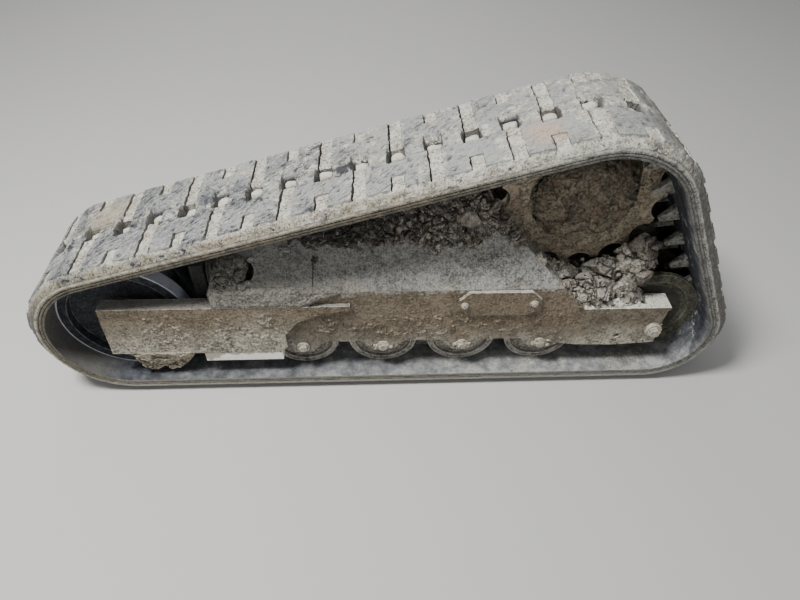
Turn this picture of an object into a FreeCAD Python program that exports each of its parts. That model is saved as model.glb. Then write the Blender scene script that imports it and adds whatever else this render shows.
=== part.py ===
"""Left-hand rubber-track undercarriage of a compact track loader.

Work frame while building: x = 0 and z = SPROCKET_Z is the sprocket's axis, z = 0 is the inner
surface of the track's bottom run, y = 0 is the track's centre line.  -Y is the outboard side
and +X runs to the rear.  save() moves everything to the part's own frame, whose origin is
under the middle of the whole assembly, on the ground.  All sizes are in millimetres.
"""
import math
import os

import FreeCAD
import Part

V = FreeCAD.Vector

# track
LINK_PITCH = 86.0
IDLER_SPAN = 1150.0
BELT_W = 320.0
CARCASS_T = 26.0
CORD_DEPTH = 17.0
LUG_H = 20.0
LUG_Y = 140.0
LUG_GAP = 32.0
BITE_L = 30.0
BITE_D = 48.0
WINDOW_L = 38.0
WINDOW_W = 44.0
WINDOW_PHASE = 18.8
HORN_H = 45.0
HORN_Y = 38.0
HORN_BASE_L = 42.0
HORN_BASE_W = 22.0
HORN_TIP_L = 12.0
HORN_TIP_W = 10.0
HORN_SINK = 2.0

# wheels inside the track
RUN_GAP = 0.4
HORN_CLEAR = 5.0
FRONT_R = 170.0
FRONT_TREAD_Y = 90.0
FRONT_AXLE_R = 25.0
WHEEL_RIM_T = 26.0
WHEEL_RIM_W = 24.0
WHEEL_WALL = 8.0
WHEEL_HUB_T = 28.0
GROOVE_CLEAR = 14.0
ARM_GAP = 1.0
REAR_X = 234.0
REAR_R = 137.0
REAR_TREAD_Y = 68.0
REAR_AXLE_R = 22.0
AXLE_PROUD = 6.0
FIRST_ROLLER_GAP = 454.2
LAST_ROLLER_X = -62.3
ROLLER_STEP_MIN = 200.0
ROLLER_R = 91.8
ROLLER_TREAD_Y = 101.0
ROLLER_HUB_R = 34.0
ROLLER_RIM_T = 14.0
ROLLER_DISH = 12.0
ROLLER_AXLE_R = 20.0
SHAFT_GAP = 0.05

# drive
SPROCKET_Z = 486.0
TOOTH_COUNT = 15
TOOTH_TIP_R = 201.0
TOOTH_ROOT_R = 177.0
TOOTH_TIP_W = 18.0
RING_W = 36.0
RING_RECESS = 22.0
RING_RIM = 19.0
CASE_R = 112.0
CASE_GAP = 6.0
CASE_OUT_Y = -46.0
CASE_CAP_R = 72.0
CASE_FLANGE_T = 18.0
MOTOR_R = 78.0
MOTOR_L = 96.0
MOTOR_CAP = 14.0
PORT_L = 86.0
PORT_W = 48.0
PORT_H = 56.0
SEAT_R = 156.0

# frame plates
PLATE_Y = 128.0
PLATE_T = 10.0
PLATE_FRONT_GAP = 14.0
PLATE_REAR_X = 35.0
PLATE_TOP_Z = 290.0
PLATE_LOW_Z = 108.0
PLATE_HEEL_Z = 86.0
TAB_LOW_Z = 70.0
TAB_HALF = 24.0
TAB_SLOPE = 30.0
DECK_ANGLE = 60.0
NOSE_KNEE_X = 12.0
NOSE_KNEE_Z = 320.0
RIDGE_FRONT_X = 50.0
RIDGE_FRONT_Z = 374.0
RIDGE_REAR = (-262.0, 503.0)
EDGE_KNEE = (-33.0, 290.0)
CORE_LOW_Z = 198.0
TOOTH_CLEAR = 15.0

# recoil spring behind the front idler, in its chamber, and the round hole that shows it
SPRING_Z = 272.0
SPRING_R = 58.0
SPRING_COILS = 5
SPRING_SIDES = 24
SPRING_SEAT_T = 12.0
SPRING_DEPTH = 9.0
RECOIL_ROD_R = 22.0
CHAMBER_L = 167.0
CHAMBER_WALL = 14.0
CHAMBER_TOP_Z = 358.0
CHAMBER_LOW_Z = 208.0
CHAMBER_IN_Y = 62.0
HOLE_R = 33.0
HOLE_FROM_FRONT = 85.0
HOLE_UP = 57.0

# front guard beam
GUARD_T = 10.0
GUARD_NOSE = 37.0
GUARD_RAKE = 8.0
GUARD_TOP_Z = 250.0
GUARD_LOW_Z = 88.0
GUARD_HEEL_GAP = 51.5
GUARD_FINGER_L = 182.0
GUARD_FINGER_H = 14.0
GUARD_DROP = 6.0
GUARD_FLANGE_W = 38.0
# points of the guard's sweep up to its finger: (x past the heel, z over the low edge)
GUARD_SWEEP = ((12.0, 62.0), (46.0, 106.0), (106.0, 134.0))
STRIP_L = 205.0
STRIP_BACK = 4.0
STRIP_H = 28.0
STRIP_W = 34.0

# rear beam
REAR_END_X = 262.0
REAR_TOP_Z = 214.0
REAR_LOW_Z = 78.0
REAR_NOTCH_Z = 150.0
REAR_NOTCH = 5.0
REAR_RAKE = 10.0
REAR_BELLY = 4.0
REAR_EDGE_GAP = 20.0
REAR_FLANGE_W = 54.0
REAR_FLANGE_T = 10.0
REAR_BOLT_HOLE = (142.0, 111.0)
REAR_BOLT_HOLE_R = 8.0

# access cover
COVER_X = -189.0
COVER_Z = 246.0
COVER_L = 207.0
COVER_H = 80.0
COVER_CUT = 26.0
COVER_T = 8.0

# idler yoke and track tensioner
YOKE_ARM_T = 30.0
YOKE_ARM_H = 70.0
YOKE_NOSE = 48.0
YOKE_REACH = 225.0
YOKE_BACK_T = 34.0

# mounting legs
LEG_X = (-480.0, -215.0)
LEG_CLEAR = 4.0
LEG_L = 130.0
LEG_H = 96.0
LEG_REACH = 92.0
FOOT_T = 16.0
FOOT_L = 200.0
FOOT_H = 150.0
FOOT_HOLE_R = 11.0
FOOT_EDGE = 25.0

BELT_T = CARCASS_T + LUG_H
SPROCKET_PITCH_R = LINK_PITCH * TOOTH_COUNT / (2.0 * math.pi)
SPROCKET_BELT_R = SPROCKET_PITCH_R - CORD_DEPTH
DECK_RISE = math.tan(math.radians(DECK_ANGLE))


def track_runs(front_x):
    """Straight runs and arcs of the track's inner surface, clockwise from the front idler."""
    wheels = [
        (front_x, FRONT_R, FRONT_R),
        (0.0, SPROCKET_Z, SPROCKET_BELT_R),
        (REAR_X, REAR_R, REAR_R),
    ]
    lines = []
    for i in range(3):
        ax, az, ar = wheels[i]
        bx, bz, br = wheels[(i + 1) % 3]
        length = math.hypot(bx - ax, bz - az)
        dx = (bx - ax) / length
        dz = (bz - az) / length
        lean = (ar - br) / length
        flat = math.sqrt(1.0 - lean * lean)
        nx = -dz * flat + dx * lean
        nz = dx * flat + dz * lean
        start = (ax + nx * ar, az + nz * ar)
        end = (bx + nx * br, bz + nz * br)
        lines.append((start, end, (nx, nz)))
    runs = []
    for i in range(3):
        start, end, normal = lines[i]
        wheel = wheels[(i + 1) % 3]
        following = lines[(i + 1) % 3][2]
        a0 = math.atan2(normal[1], normal[0])
        turn = (a0 - math.atan2(following[1], following[0])) % (2.0 * math.pi)
        runs.append(("line", start, end, normal))
        runs.append(("arc", wheel, a0, turn))
    return runs


def run_length(run):
    """Length of one run along the cords."""
    if run[0] == "line":
        return math.hypot(run[2][0] - run[1][0], run[2][1] - run[1][1])
    return (run[1][2] + CORD_DEPTH) * run[3]


def loop_length(front_x):
    """Length of the whole loop along the cords."""
    return sum(run_length(run) for run in track_runs(front_x))


def tensioned_front_x(length):
    """The front idler's place that takes up a track of this length."""
    near = -IDLER_SPAN + LINK_PITCH
    far = -IDLER_SPAN - LINK_PITCH
    for _ in range(60):
        middle = (near + far) / 2.0
        if loop_length(middle) > length:
            far = middle
        else:
            near = middle
    return near


LINK_COUNT = 2 * round(loop_length(-IDLER_SPAN) / LINK_PITCH / 2.0)
LOOP_LENGTH = LINK_PITCH * LINK_COUNT
FRONT_X = tensioned_front_x(LOOP_LENGTH)
RUNS = track_runs(FRONT_X)
LEFT_END = FRONT_X - FRONT_R - BELT_T
RIGHT_END = REAR_X + REAR_R + BELT_T
INBOARD_Y = PLATE_Y + LEG_REACH + FOOT_T
LEG_Z = GUARD_TOP_Z + LEG_CLEAR + LEG_H / 2.0
YOKE_Z0 = FRONT_R - YOKE_ARM_H / 2.0
YOKE_BACK_X = FRONT_X + YOKE_REACH
PLATE_FRONT_X = YOKE_BACK_X + PLATE_FRONT_GAP
CHAMBER_REAR_X = PLATE_FRONT_X + CHAMBER_L
GUARD_TIP_X = FRONT_X - GUARD_NOSE
NOSE_KNEE = (PLATE_FRONT_X + NOSE_KNEE_X, NOSE_KNEE_Z)
RIDGE_FRONT = (PLATE_FRONT_X + RIDGE_FRONT_X, RIDGE_FRONT_Z)

FIRST_ROLLER_X = FRONT_X + FIRST_ROLLER_GAP
ROLLER_SPACES = int((LAST_ROLLER_X - FIRST_ROLLER_X) / ROLLER_STEP_MIN)
ROLLER_STEP = (LAST_ROLLER_X - FIRST_ROLLER_X) / ROLLER_SPACES
ROLLERS = [FIRST_ROLLER_X + ROLLER_STEP * i for i in range(ROLLER_SPACES + 1)]
GUARD_HEEL_X = FIRST_ROLLER_X - GUARD_HEEL_GAP
SHIFT = V(-(LEFT_END + RIGHT_END) / 2.0, -(INBOARD_Y - BELT_W / 2.0) / 2.0, BELT_T)


def save(node, shape):
    """Moves a finished solid to the part's frame and writes it."""
    placed = shape.copy()
    placed.translate(SHIFT)
    placed.exportStep("parts/" + node + ".step")
    print(node, placed.isValid(), len(placed.Solids), round(placed.Volume / 1000.0, 1))


def on_track(distance):
    """Placement on the inner surface, its Z outward and its X along the travel."""
    left = distance % LOOP_LENGTH
    for run in RUNS:
        length = run_length(run)
        if left <= length:
            break
        left -= length
    if run[0] == "line":
        share = left / length
        nx, nz = run[3]
        px = run[1][0] + (run[2][0] - run[1][0]) * share
        pz = run[1][1] + (run[2][1] - run[1][1]) * share
    else:
        cx, cz, r = run[1]
        angle = run[2] - run[3] * left / length
        nx = math.cos(angle)
        nz = math.sin(angle)
        px = cx + nx * r
        pz = cz + nz * r
    turn = FreeCAD.Rotation(V(0, 1, 0), math.degrees(math.atan2(nx, nz)))
    return FreeCAD.Placement(V(px, 0, pz), turn)


def track_disc(offset, y0, y1):
    """The area inside the track, out to an offset from its inner surface, as a solid."""
    edges = []
    for run in RUNS:
        if run[0] == "line":
            nx, nz = run[3]
            a = V(run[1][0] + nx * offset, y0, run[1][1] + nz * offset)
            b = V(run[2][0] + nx * offset, y0, run[2][1] + nz * offset)
            edges.append(Part.makeLine(a, b))
        else:
            cx, cz, r = run[1]
            reach = r + offset
            points = []
            for share in (0.0, 0.5, 1.0):
                angle = run[2] - run[3] * share
                points.append(V(cx + reach * math.cos(angle), y0, cz + reach * math.sin(angle)))
            edges.append(Part.Arc(points[0], points[1], points[2]).toShape())
    return Part.Face(Part.Wire(edges)).extrude(V(0, y1 - y0, 0))


def track_box(distance, length, y0, y1, z0, z1):
    """A box that stands on the track at a distance along it."""
    box = Part.makeBox(length, y1 - y0, z1 - z0, V(-length / 2.0, y0, z0))
    box.Placement = on_track(distance).multiply(box.Placement)
    return box


def guide_horn(distance, side):
    """One tapered horn on the track's inner surface."""
    half_l = HORN_BASE_L / 2.0
    half_w = HORN_BASE_W / 2.0
    tip_l = HORN_TIP_L / 2.0
    tip_w = HORN_TIP_W / 2.0
    horn = Part.makeWedge(
        -half_l, 0, -half_w, -tip_w, -tip_l, half_l, HORN_H + HORN_SINK, half_w, tip_w, tip_l
    )
    horn.rotate(V(0, 0, 0), V(1, 0, 0), -90)
    horn.translate(V(0, side * HORN_Y, HORN_SINK))
    horn.Placement = on_track(distance).multiply(horn.Placement)
    return horn


def tooth_phase():
    """Angle of the first window that lies on the sprocket, where a tooth must stand."""
    s = WINDOW_PHASE
    while s < run_length(RUNS[0]):
        s += LINK_PITCH
    return RUNS[1][2] - (s - run_length(RUNS[0])) / SPROCKET_PITCH_R


def rubber_track():
    """One endless belt: carcass, two staggered rows of C lugs, windows and guide horns."""
    half = BELT_W / 2.0
    belt = track_disc(CARCASS_T, -half, half).fuse(track_disc(BELT_T, -LUG_Y, LUG_Y))
    belt = belt.cut(track_disc(0.0, -half - 1.0, half + 1.0))
    cuts = []
    for link in range(LINK_COUNT):
        s = WINDOW_PHASE + link * LINK_PITCH
        cuts.append(track_box(s, WINDOW_L, -WINDOW_W / 2.0, WINDOW_W / 2.0, -9.0, BELT_T + 9.0))
        side = -1.0 if link % 2 == 0 else 1.0
        low = min(side * (LUG_Y + 1.0), 0.0)
        high = max(side * (LUG_Y + 1.0), 0.0)
        cuts.append(track_box(s, LUG_GAP, low, high, CARCASS_T, BELT_T + 9.0))
        edge = -side * (LUG_Y + 1.0)
        back = -side * (LUG_Y - BITE_D)
        bite = (min(edge, back), max(edge, back))
        cuts.append(track_box(s, BITE_L, bite[0], bite[1], CARCASS_T, BELT_T + 9.0))
    belt = belt.cut(cuts)
    horns = []
    for link in range(LINK_COUNT):
        s = WINDOW_PHASE + (link + 0.5) * LINK_PITCH
        for side in (-1.0, 1.0):
            horns.append(guide_horn(s, side))
    return belt.fuse(horns).removeSplitter()


def turned(points, x, z):
    """A solid turned about a wheel's axis from (radius, y) points."""
    outline = [V(r, y, 0) for r, y in points]
    outline.append(outline[0])
    solid = Part.Face(Part.makePolygon(outline)).revolve(V(0, 0, 0), V(0, 1, 0), 360)
    solid.translate(V(x, 0, z))
    return solid


def axle(r, y0, y1, x, z):
    """A plain round bar across the track."""
    return Part.makeCylinder(r, y1 - y0, V(x, y0, z), V(0, 1, 0))


def side_plate(points, y0, thick):
    """A flat plate cut to (x, z) points."""
    outline = [V(x, y0, z) for x, z in points]
    outline.append(outline[0])
    return Part.Face(Part.makePolygon(outline)).extrude(V(0, thick, 0))


def guide_wheel(radius, tread_y, bore_r, hub_y):
    """Outline of an idler: two treads outside the horns, a deep middle groove, dished sides."""
    inner = HORN_Y + HORN_BASE_W / 2.0 + HORN_CLEAR
    groove = radius - HORN_H - GROOVE_CLEAR
    rim = radius - WHEEL_RIM_T
    dish = max(tread_y - WHEEL_RIM_W, inner + WHEEL_WALL)
    half = [
        (groove, inner),
        (radius, inner),
        (radius, tread_y),
        (rim, tread_y),
        (rim, dish),
        (bore_r + WHEEL_HUB_T, dish),
        (bore_r + WHEEL_HUB_T, hub_y),
        (bore_r, hub_y),
    ]
    return half + [(r, -y) for r, y in reversed(half)]


def roller_wheel():
    """Outline of a bottom roller: two treads outside the horns and shallow dished sides."""
    inner = HORN_Y + HORN_BASE_W / 2.0 + HORN_CLEAR
    tread = ROLLER_R - RUN_GAP
    half = [
        (ROLLER_HUB_R, inner),
        (tread, inner),
        (tread, ROLLER_TREAD_Y),
        (tread - ROLLER_RIM_T, ROLLER_TREAD_Y),
        (tread - ROLLER_RIM_T, ROLLER_TREAD_Y - ROLLER_DISH),
        (ROLLER_AXLE_R + SHAFT_GAP, ROLLER_TREAD_Y - ROLLER_DISH),
    ]
    return half + [(r, -y) for r, y in reversed(half)]


def scalloped_low_edge():
    """Lower edge of a side plate, with a tab down to each roller's axle, front to rear."""
    points = []
    for x in ROLLERS:
        points.append((x - TAB_HALF - TAB_SLOPE, PLATE_LOW_Z))
        points.append((x - TAB_HALF, TAB_LOW_Z))
        points.append((x + TAB_HALF, TAB_LOW_Z))
        points.append((x + TAB_HALF + TAB_SLOPE, PLATE_LOW_Z))
    last_x = points.pop()[0]
    points.append((last_x, PLATE_HEEL_Z))
    points.append((PLATE_REAR_X, REAR_LOW_Z))
    return points


def outer_plate():
    """Outboard side plate of the main frame."""
    points = [(PLATE_FRONT_X, PLATE_TOP_Z), (PLATE_FRONT_X, PLATE_LOW_Z)]
    points += scalloped_low_edge()
    points += [(PLATE_REAR_X, REAR_TOP_Z), EDGE_KNEE]
    return side_plate(points, -PLATE_Y, PLATE_T)


def inner_plate():
    """Inboard side plate: it also carries the drive's round seat and the rear idler."""
    points = [(PLATE_FRONT_X, PLATE_TOP_Z), (PLATE_FRONT_X, PLATE_LOW_Z)]
    points += scalloped_low_edge()
    points.append((REAR_END_X - REAR_RAKE, REAR_LOW_Z))
    top, foot, normal = RUNS[2][1:]
    for x, z in (foot, top):
        points.append((x - normal[0] * REAR_EDGE_GAP, z - normal[1] * REAR_EDGE_GAP))
    points += [RIDGE_REAR, RIDGE_FRONT, NOSE_KNEE]
    y0 = PLATE_Y - PLATE_T
    seat = axle(SEAT_R, y0, PLATE_Y, 0, SPROCKET_Z)
    plate = side_plate(points, y0, PLATE_T).fuse(seat).removeSplitter()
    motor_hole = axle(MOTOR_R + SHAFT_GAP, y0 - 1, PLATE_Y + 1, 0, SPROCKET_Z)
    idler_hole = axle(REAR_AXLE_R + SHAFT_GAP, y0 - 1, PLATE_Y + 1, REAR_X, REAR_R)
    return plate.cut([motor_hole, idler_hole])


def deck_line(z):
    """The deck's y at a height."""
    return -PLATE_Y + (z - PLATE_TOP_Z) / DECK_RISE


def cross_prism(points, x0, x1):
    """A solid along the track from (y, z) points of its cross-section."""
    outline = [V(x0, y, z) for y, z in points]
    outline.append(outline[0])
    return Part.Face(Part.makePolygon(outline)).extrude(V(x1 - x0, 0, 0))


def spring_chamber():
    """Room for the recoil spring, open to the front, as thick-walled as the deck's plate."""
    wall = CHAMBER_WALL / math.sin(math.radians(DECK_ANGLE))
    straight = -PLATE_Y + PLATE_T + CHAMBER_WALL
    bend_z = PLATE_TOP_Z + (straight - wall + PLATE_Y) * DECK_RISE
    points = [
        (straight, CHAMBER_LOW_Z),
        (straight, bend_z),
        (deck_line(CHAMBER_TOP_Z) + wall, CHAMBER_TOP_Z),
        (CHAMBER_IN_Y, CHAMBER_TOP_Z),
        (CHAMBER_IN_Y, CHAMBER_LOW_Z),
    ]
    return cross_prism(points, PLATE_FRONT_X - 1.0, CHAMBER_REAR_X)


def deck_body():
    """Closed main box with the steep mud deck on its outboard side."""
    points = [
        (PLATE_FRONT_X, CORE_LOW_Z),
        (PLATE_FRONT_X, PLATE_TOP_Z),
        NOSE_KNEE,
        RIDGE_FRONT,
        RIDGE_REAR,
        EDGE_KNEE,
        (EDGE_KNEE[0], CORE_LOW_Z),
    ]
    inside = PLATE_Y - PLATE_T
    body = side_plate(points, -PLATE_Y, PLATE_Y + inside)
    x0 = PLATE_FRONT_X - 1.0
    x1 = EDGE_KNEE[0] + 1.0
    top = RIDGE_REAR[1] + 1.0
    above = [(-PLATE_Y, PLATE_TOP_Z), (deck_line(top), top), (-PLATE_Y, top)]
    beside = [
        (-PLATE_Y, CORE_LOW_Z), (-inside, CORE_LOW_Z), (-inside, PLATE_TOP_Z), (-PLATE_Y, PLATE_TOP_Z),
    ]
    swing_y = -RING_W / 2.0 - TOOTH_CLEAR
    swing = axle(TOOTH_TIP_R + TOOTH_CLEAR, swing_y, inside + 1.0, 0, SPROCKET_Z)
    hole_z = PLATE_TOP_Z + HOLE_UP * math.sin(math.radians(DECK_ANGLE))
    centre = V(PLATE_FRONT_X + HOLE_FROM_FRONT, deck_line(hole_z), hole_z)
    inward = V(0, math.sin(math.radians(DECK_ANGLE)), -math.cos(math.radians(DECK_ANGLE)))
    hole = Part.makeCylinder(HOLE_R, 3.0 * CHAMBER_WALL, centre - inward * CHAMBER_WALL, inward)
    cuts = [cross_prism(above, x0, x1), cross_prism(beside, x0, x1), swing, spring_chamber(), hole]
    return body.cut(cuts)


def front_guard(side):
    """Channel beam along the front idler, with a finger that laps onto the side plate."""
    y0 = -PLATE_Y - GUARD_T if side < 0 else PLATE_Y
    points = [
        (GUARD_TIP_X, GUARD_TOP_Z),
        (GUARD_TIP_X - GUARD_RAKE, GUARD_LOW_Z),
        (GUARD_HEEL_X, GUARD_LOW_Z - GUARD_DROP),
    ]
    points += [(GUARD_HEEL_X + x, GUARD_LOW_Z + z) for x, z in GUARD_SWEEP]
    finger_x = GUARD_HEEL_X + GUARD_FINGER_L
    points += [(finger_x, GUARD_TOP_Z - GUARD_FINGER_H), (finger_x, GUARD_TOP_Z)]
    face = side_plate(points, y0, GUARD_T)
    flange_y = -PLATE_Y if side < 0 else PLATE_Y - GUARD_FLANGE_W + GUARD_T
    flange = Part.makeBox(
        PLATE_FRONT_X - GUARD_TIP_X,
        GUARD_FLANGE_W - GUARD_T,
        GUARD_T,
        V(GUARD_TIP_X, flange_y, GUARD_TOP_Z - GUARD_T),
    )
    return face.fuse(flange).removeSplitter()


def wear_strip(side):
    """Flat bar welded under the guard, rubbed bright."""
    outer = PLATE_Y + GUARD_T
    y0 = -outer if side < 0 else outer - STRIP_W
    top = GUARD_LOW_Z - GUARD_DROP
    x0 = GUARD_HEEL_X - STRIP_BACK - STRIP_L
    return Part.makeBox(STRIP_L, STRIP_W, STRIP_H, V(x0, y0, top - STRIP_H))


def rear_beam():
    """Channel beam beside the rear idler, open on its inner side, with a notched end."""
    face_x = REAR_END_X - REAR_NOTCH
    points = [
        (PLATE_REAR_X, REAR_TOP_Z),
        (PLATE_REAR_X, REAR_LOW_Z),
        (REAR_BOLT_HOLE[0], REAR_LOW_Z - REAR_BELLY),
        (face_x - REAR_NOTCH, REAR_LOW_Z + REAR_BELLY),
        (face_x, REAR_NOTCH_Z - REAR_NOTCH),
        (face_x, REAR_NOTCH_Z),
        (face_x - REAR_NOTCH, REAR_NOTCH_Z),
        (face_x, REAR_TOP_Z),
    ]
    face = side_plate(points, -PLATE_Y, PLATE_T)
    flange = Part.makeBox(
        REAR_END_X - PLATE_REAR_X,
        REAR_FLANGE_W,
        REAR_FLANGE_T,
        V(PLATE_REAR_X, -PLATE_Y, REAR_TOP_Z - REAR_FLANGE_T),
    )
    holes = []
    for r, x, z in (
        (REAR_AXLE_R + SHAFT_GAP, REAR_X, REAR_R),
        (REAR_BOLT_HOLE_R, REAR_BOLT_HOLE[0], REAR_BOLT_HOLE[1]),
    ):
        holes.append(axle(r, -PLATE_Y - 1, -PLATE_Y + PLATE_T + 1, x, z))
    return face.fuse(flange).removeSplitter().cut(holes)


def access_cover():
    """Eight-sided cover plate over the tensioner's grease valve."""
    x0 = COVER_X - COVER_L / 2.0
    x1 = COVER_X + COVER_L / 2.0
    z0 = COVER_Z - COVER_H / 2.0
    z1 = COVER_Z + COVER_H / 2.0
    c = COVER_CUT
    points = [
        (x0 + c, z1), (x0, z1 - c), (x0, z0 + c), (x0 + c, z0),
        (x1 - c, z0), (x1, z0 + c), (x1, z1 - c), (x1 - c, z1),
    ]
    return side_plate(points, -PLATE_Y - COVER_T, COVER_T)


def yoke_arm(side):
    """One arm of the fork that holds the front idler's axle."""
    nose = FRONT_X - YOKE_NOSE
    y0 = -PLATE_Y if side < 0 else PLATE_Y - YOKE_ARM_T
    length = YOKE_BACK_X - YOKE_BACK_T - nose
    arm = Part.makeBox(length, YOKE_ARM_T, YOKE_ARM_H, V(nose, y0, YOKE_Z0))
    return arm.cut(axle(FRONT_AXLE_R + SHAFT_GAP, y0 - 1, y0 + YOKE_ARM_T + 1, FRONT_X, FRONT_R))


def yoke_back():
    """Cross plate of the fork, raised in the middle to meet the recoil spring."""
    x0 = YOKE_BACK_X - YOKE_BACK_T
    seat = SPRING_R + SPRING_SEAT_T
    plate = Part.makeBox(YOKE_BACK_T, 2.0 * PLATE_Y, YOKE_ARM_H, V(x0, -PLATE_Y, YOKE_Z0))
    rise = Part.makeBox(YOKE_BACK_T, 2.0 * seat, SPRING_Z + SPRING_R - YOKE_Z0, V(x0, -seat, YOKE_Z0))
    return plate.fuse(rise).removeSplitter()


def turned_lengthwise(points):
    """A solid turned about the recoil rod's axis from (radius, x) points."""
    solid = turned(points, 0.0, 0.0)
    solid.rotate(V(0, 0, 0), V(0, 0, 1), -90)
    solid.translate(V(0, 0, SPRING_Z))
    return solid


def tensioner():
    """Grease cylinder's rod with the flange that the recoil spring sits on."""
    seat_x = YOKE_BACK_X + SPRING_SEAT_T
    points = [
        (0.0, YOKE_BACK_X),
        (SPRING_R, YOKE_BACK_X),
        (SPRING_R, seat_x),
        (RECOIL_ROD_R, seat_x),
        (RECOIL_ROD_R, CHAMBER_REAR_X),
        (0.0, CHAMBER_REAR_X),
    ]
    return turned_lengthwise(points)


def spring_section(r, x):
    """Corners of a many-sided outline round the recoil rod, the first one again at the end."""
    step = 2.0 * math.pi / SPRING_SIDES
    points = [V(x, r * math.cos(i * step), SPRING_Z + r * math.sin(i * step)) for i in range(SPRING_SIDES)]
    return points + points[:1]


def recoil_spring():
    """Stiff spring round the rod, its coils as ridges of one sleeve."""
    seat_x = YOKE_BACK_X + SPRING_SEAT_T
    pitch = (CHAMBER_REAR_X - seat_x) / SPRING_COILS
    sections = []
    for coil in range(SPRING_COILS):
        x = seat_x + coil * pitch
        sections.append(spring_section(SPRING_R - SPRING_DEPTH, x))
        sections.append(spring_section(SPRING_R, x + pitch / 2.0))
    sections.append(spring_section(SPRING_R - SPRING_DEPTH, CHAMBER_REAR_X))
    faces = [Part.Face(Part.makePolygon(sections[0])), Part.Face(Part.makePolygon(sections[-1]))]
    for near, far in zip(sections, sections[1:]):
        for i in range(SPRING_SIDES):
            faces.append(Part.Face(Part.makePolygon([near[i], near[i + 1], far[i + 1], far[i], near[i]])))
    sleeve = Part.Solid(Part.makeShell(faces))
    length = CHAMBER_REAR_X - seat_x + 2.0
    bore = Part.makeCylinder(RECOIL_ROD_R + RUN_GAP, length, V(seat_x - 1.0, 0, SPRING_Z), V(1, 0, 0))
    return sleeve.cut(bore)


def sprocket():
    """Toothed ring that drives the track's windows, with a recessed web."""
    edges = []
    step = 2.0 * math.pi / TOOTH_COUNT
    half = TOOTH_TIP_W / 2.0 / TOOTH_TIP_R
    y0 = -RING_W / 2.0
    for tooth in range(TOOTH_COUNT):
        middle = tooth_phase() + tooth * step
        corner = []
        for angle, r in (
            (middle - half, TOOTH_TIP_R),
            (middle + half, TOOTH_TIP_R),
            (middle + step / 2.0, TOOTH_ROOT_R),
            (middle + step - half, TOOTH_TIP_R),
        ):
            corner.append(V(r * math.cos(angle), y0, SPROCKET_Z + r * math.sin(angle)))
        edges.append(Part.makeLine(corner[0], corner[1]))
        edges.append(Part.Arc(corner[1], corner[2], corner[3]).toShape())
    ring = Part.Face(Part.Wire(edges)).extrude(V(0, RING_W, 0))
    bore = axle(CASE_R + CASE_GAP, y0 - 1, -y0 + 1, 0, SPROCKET_Z)
    recess = axle(TOOTH_ROOT_R - RING_RIM, y0 - 1, y0 + RING_RECESS, 0, SPROCKET_Z)
    return ring.cut([bore, recess])


def drive_case():
    """Final drive: drum, bolted flanges and outboard cap."""
    web_face = RING_W / 2.0
    seat = PLATE_Y - PLATE_T
    flange_r = CASE_R + CASE_GAP + RING_RECESS
    points = [
        (0.0, CASE_OUT_Y),
        (CASE_CAP_R, CASE_OUT_Y),
        (CASE_R, CASE_OUT_Y + CASE_FLANGE_T),
        (CASE_R, web_face),
        (flange_r, web_face),
        (flange_r, web_face + CASE_FLANGE_T),
        (CASE_R, web_face + CASE_FLANGE_T),
        (CASE_R, seat),
        (0.0, seat),
    ]
    return turned(points, 0.0, SPROCKET_Z)


def drive_motor():
    """Hydraulic travel motor on the inboard side, with its hose port block."""
    seat = PLATE_Y - PLATE_T
    end = seat + MOTOR_L
    points = [
        (0.0, seat),
        (MOTOR_R, seat),
        (MOTOR_R, end - MOTOR_CAP),
        (MOTOR_R - MOTOR_CAP, end),
        (0.0, end),
    ]
    body = turned(points, 0.0, SPROCKET_Z)
    port_z = SPROCKET_Z - MOTOR_R - PORT_H / 2.0
    block = Part.makeBox(PORT_L, PORT_W, PORT_H, V(-PORT_L / 2.0, end - PORT_W - MOTOR_CAP, port_z))
    return body.fuse(block)


def mounting_leg(x):
    """Box leg that stands out from the inboard plate."""
    return Part.makeBox(LEG_L, LEG_REACH, LEG_H, V(x - LEG_L / 2.0, PLATE_Y, LEG_Z - LEG_H / 2.0))


def mounting_foot(x):
    """Drilled foot plate at a leg's end, for the loader's main frame."""
    foot_y = PLATE_Y + LEG_REACH
    foot = Part.makeBox(FOOT_L, FOOT_T, FOOT_H, V(x - FOOT_L / 2.0, foot_y, LEG_Z - FOOT_H / 2.0))
    out_x = FOOT_L / 2.0 - FOOT_EDGE
    out_z = FOOT_H / 2.0 - FOOT_EDGE
    holes = []
    for dx in (-out_x, out_x):
        for dz in (-out_z, out_z):
            holes.append(axle(FOOT_HOLE_R, foot_y - 1, foot_y + FOOT_T + 1, x + dx, LEG_Z + dz))
    return foot.cut(holes)


os.makedirs("parts", exist_ok=True)

save("rubber_track", rubber_track())
save("deck_body", deck_body())
save("outer_plate", outer_plate())
save("inner_plate", inner_plate())
save("rear_beam", rear_beam())
save("access_cover", access_cover())
for side, name in ((-1, "outer"), (1, "inner")):
    save("front_guard_" + name, front_guard(side))
    save("wear_strip_" + name, wear_strip(side))
    save("yoke_arm_" + name, yoke_arm(side))
save("yoke_back", yoke_back())
save("tensioner", tensioner())
save("recoil_spring", recoil_spring())

front_hub_y = PLATE_Y - YOKE_ARM_T - ARM_GAP
front_bore = FRONT_AXLE_R + SHAFT_GAP
front_outline = guide_wheel(FRONT_R - RUN_GAP, FRONT_TREAD_Y, front_bore, front_hub_y)
save("front_idler", turned(front_outline, FRONT_X, FRONT_R))
save("front_axle", axle(FRONT_AXLE_R, -PLATE_Y, PLATE_Y, FRONT_X, FRONT_R))

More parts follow.
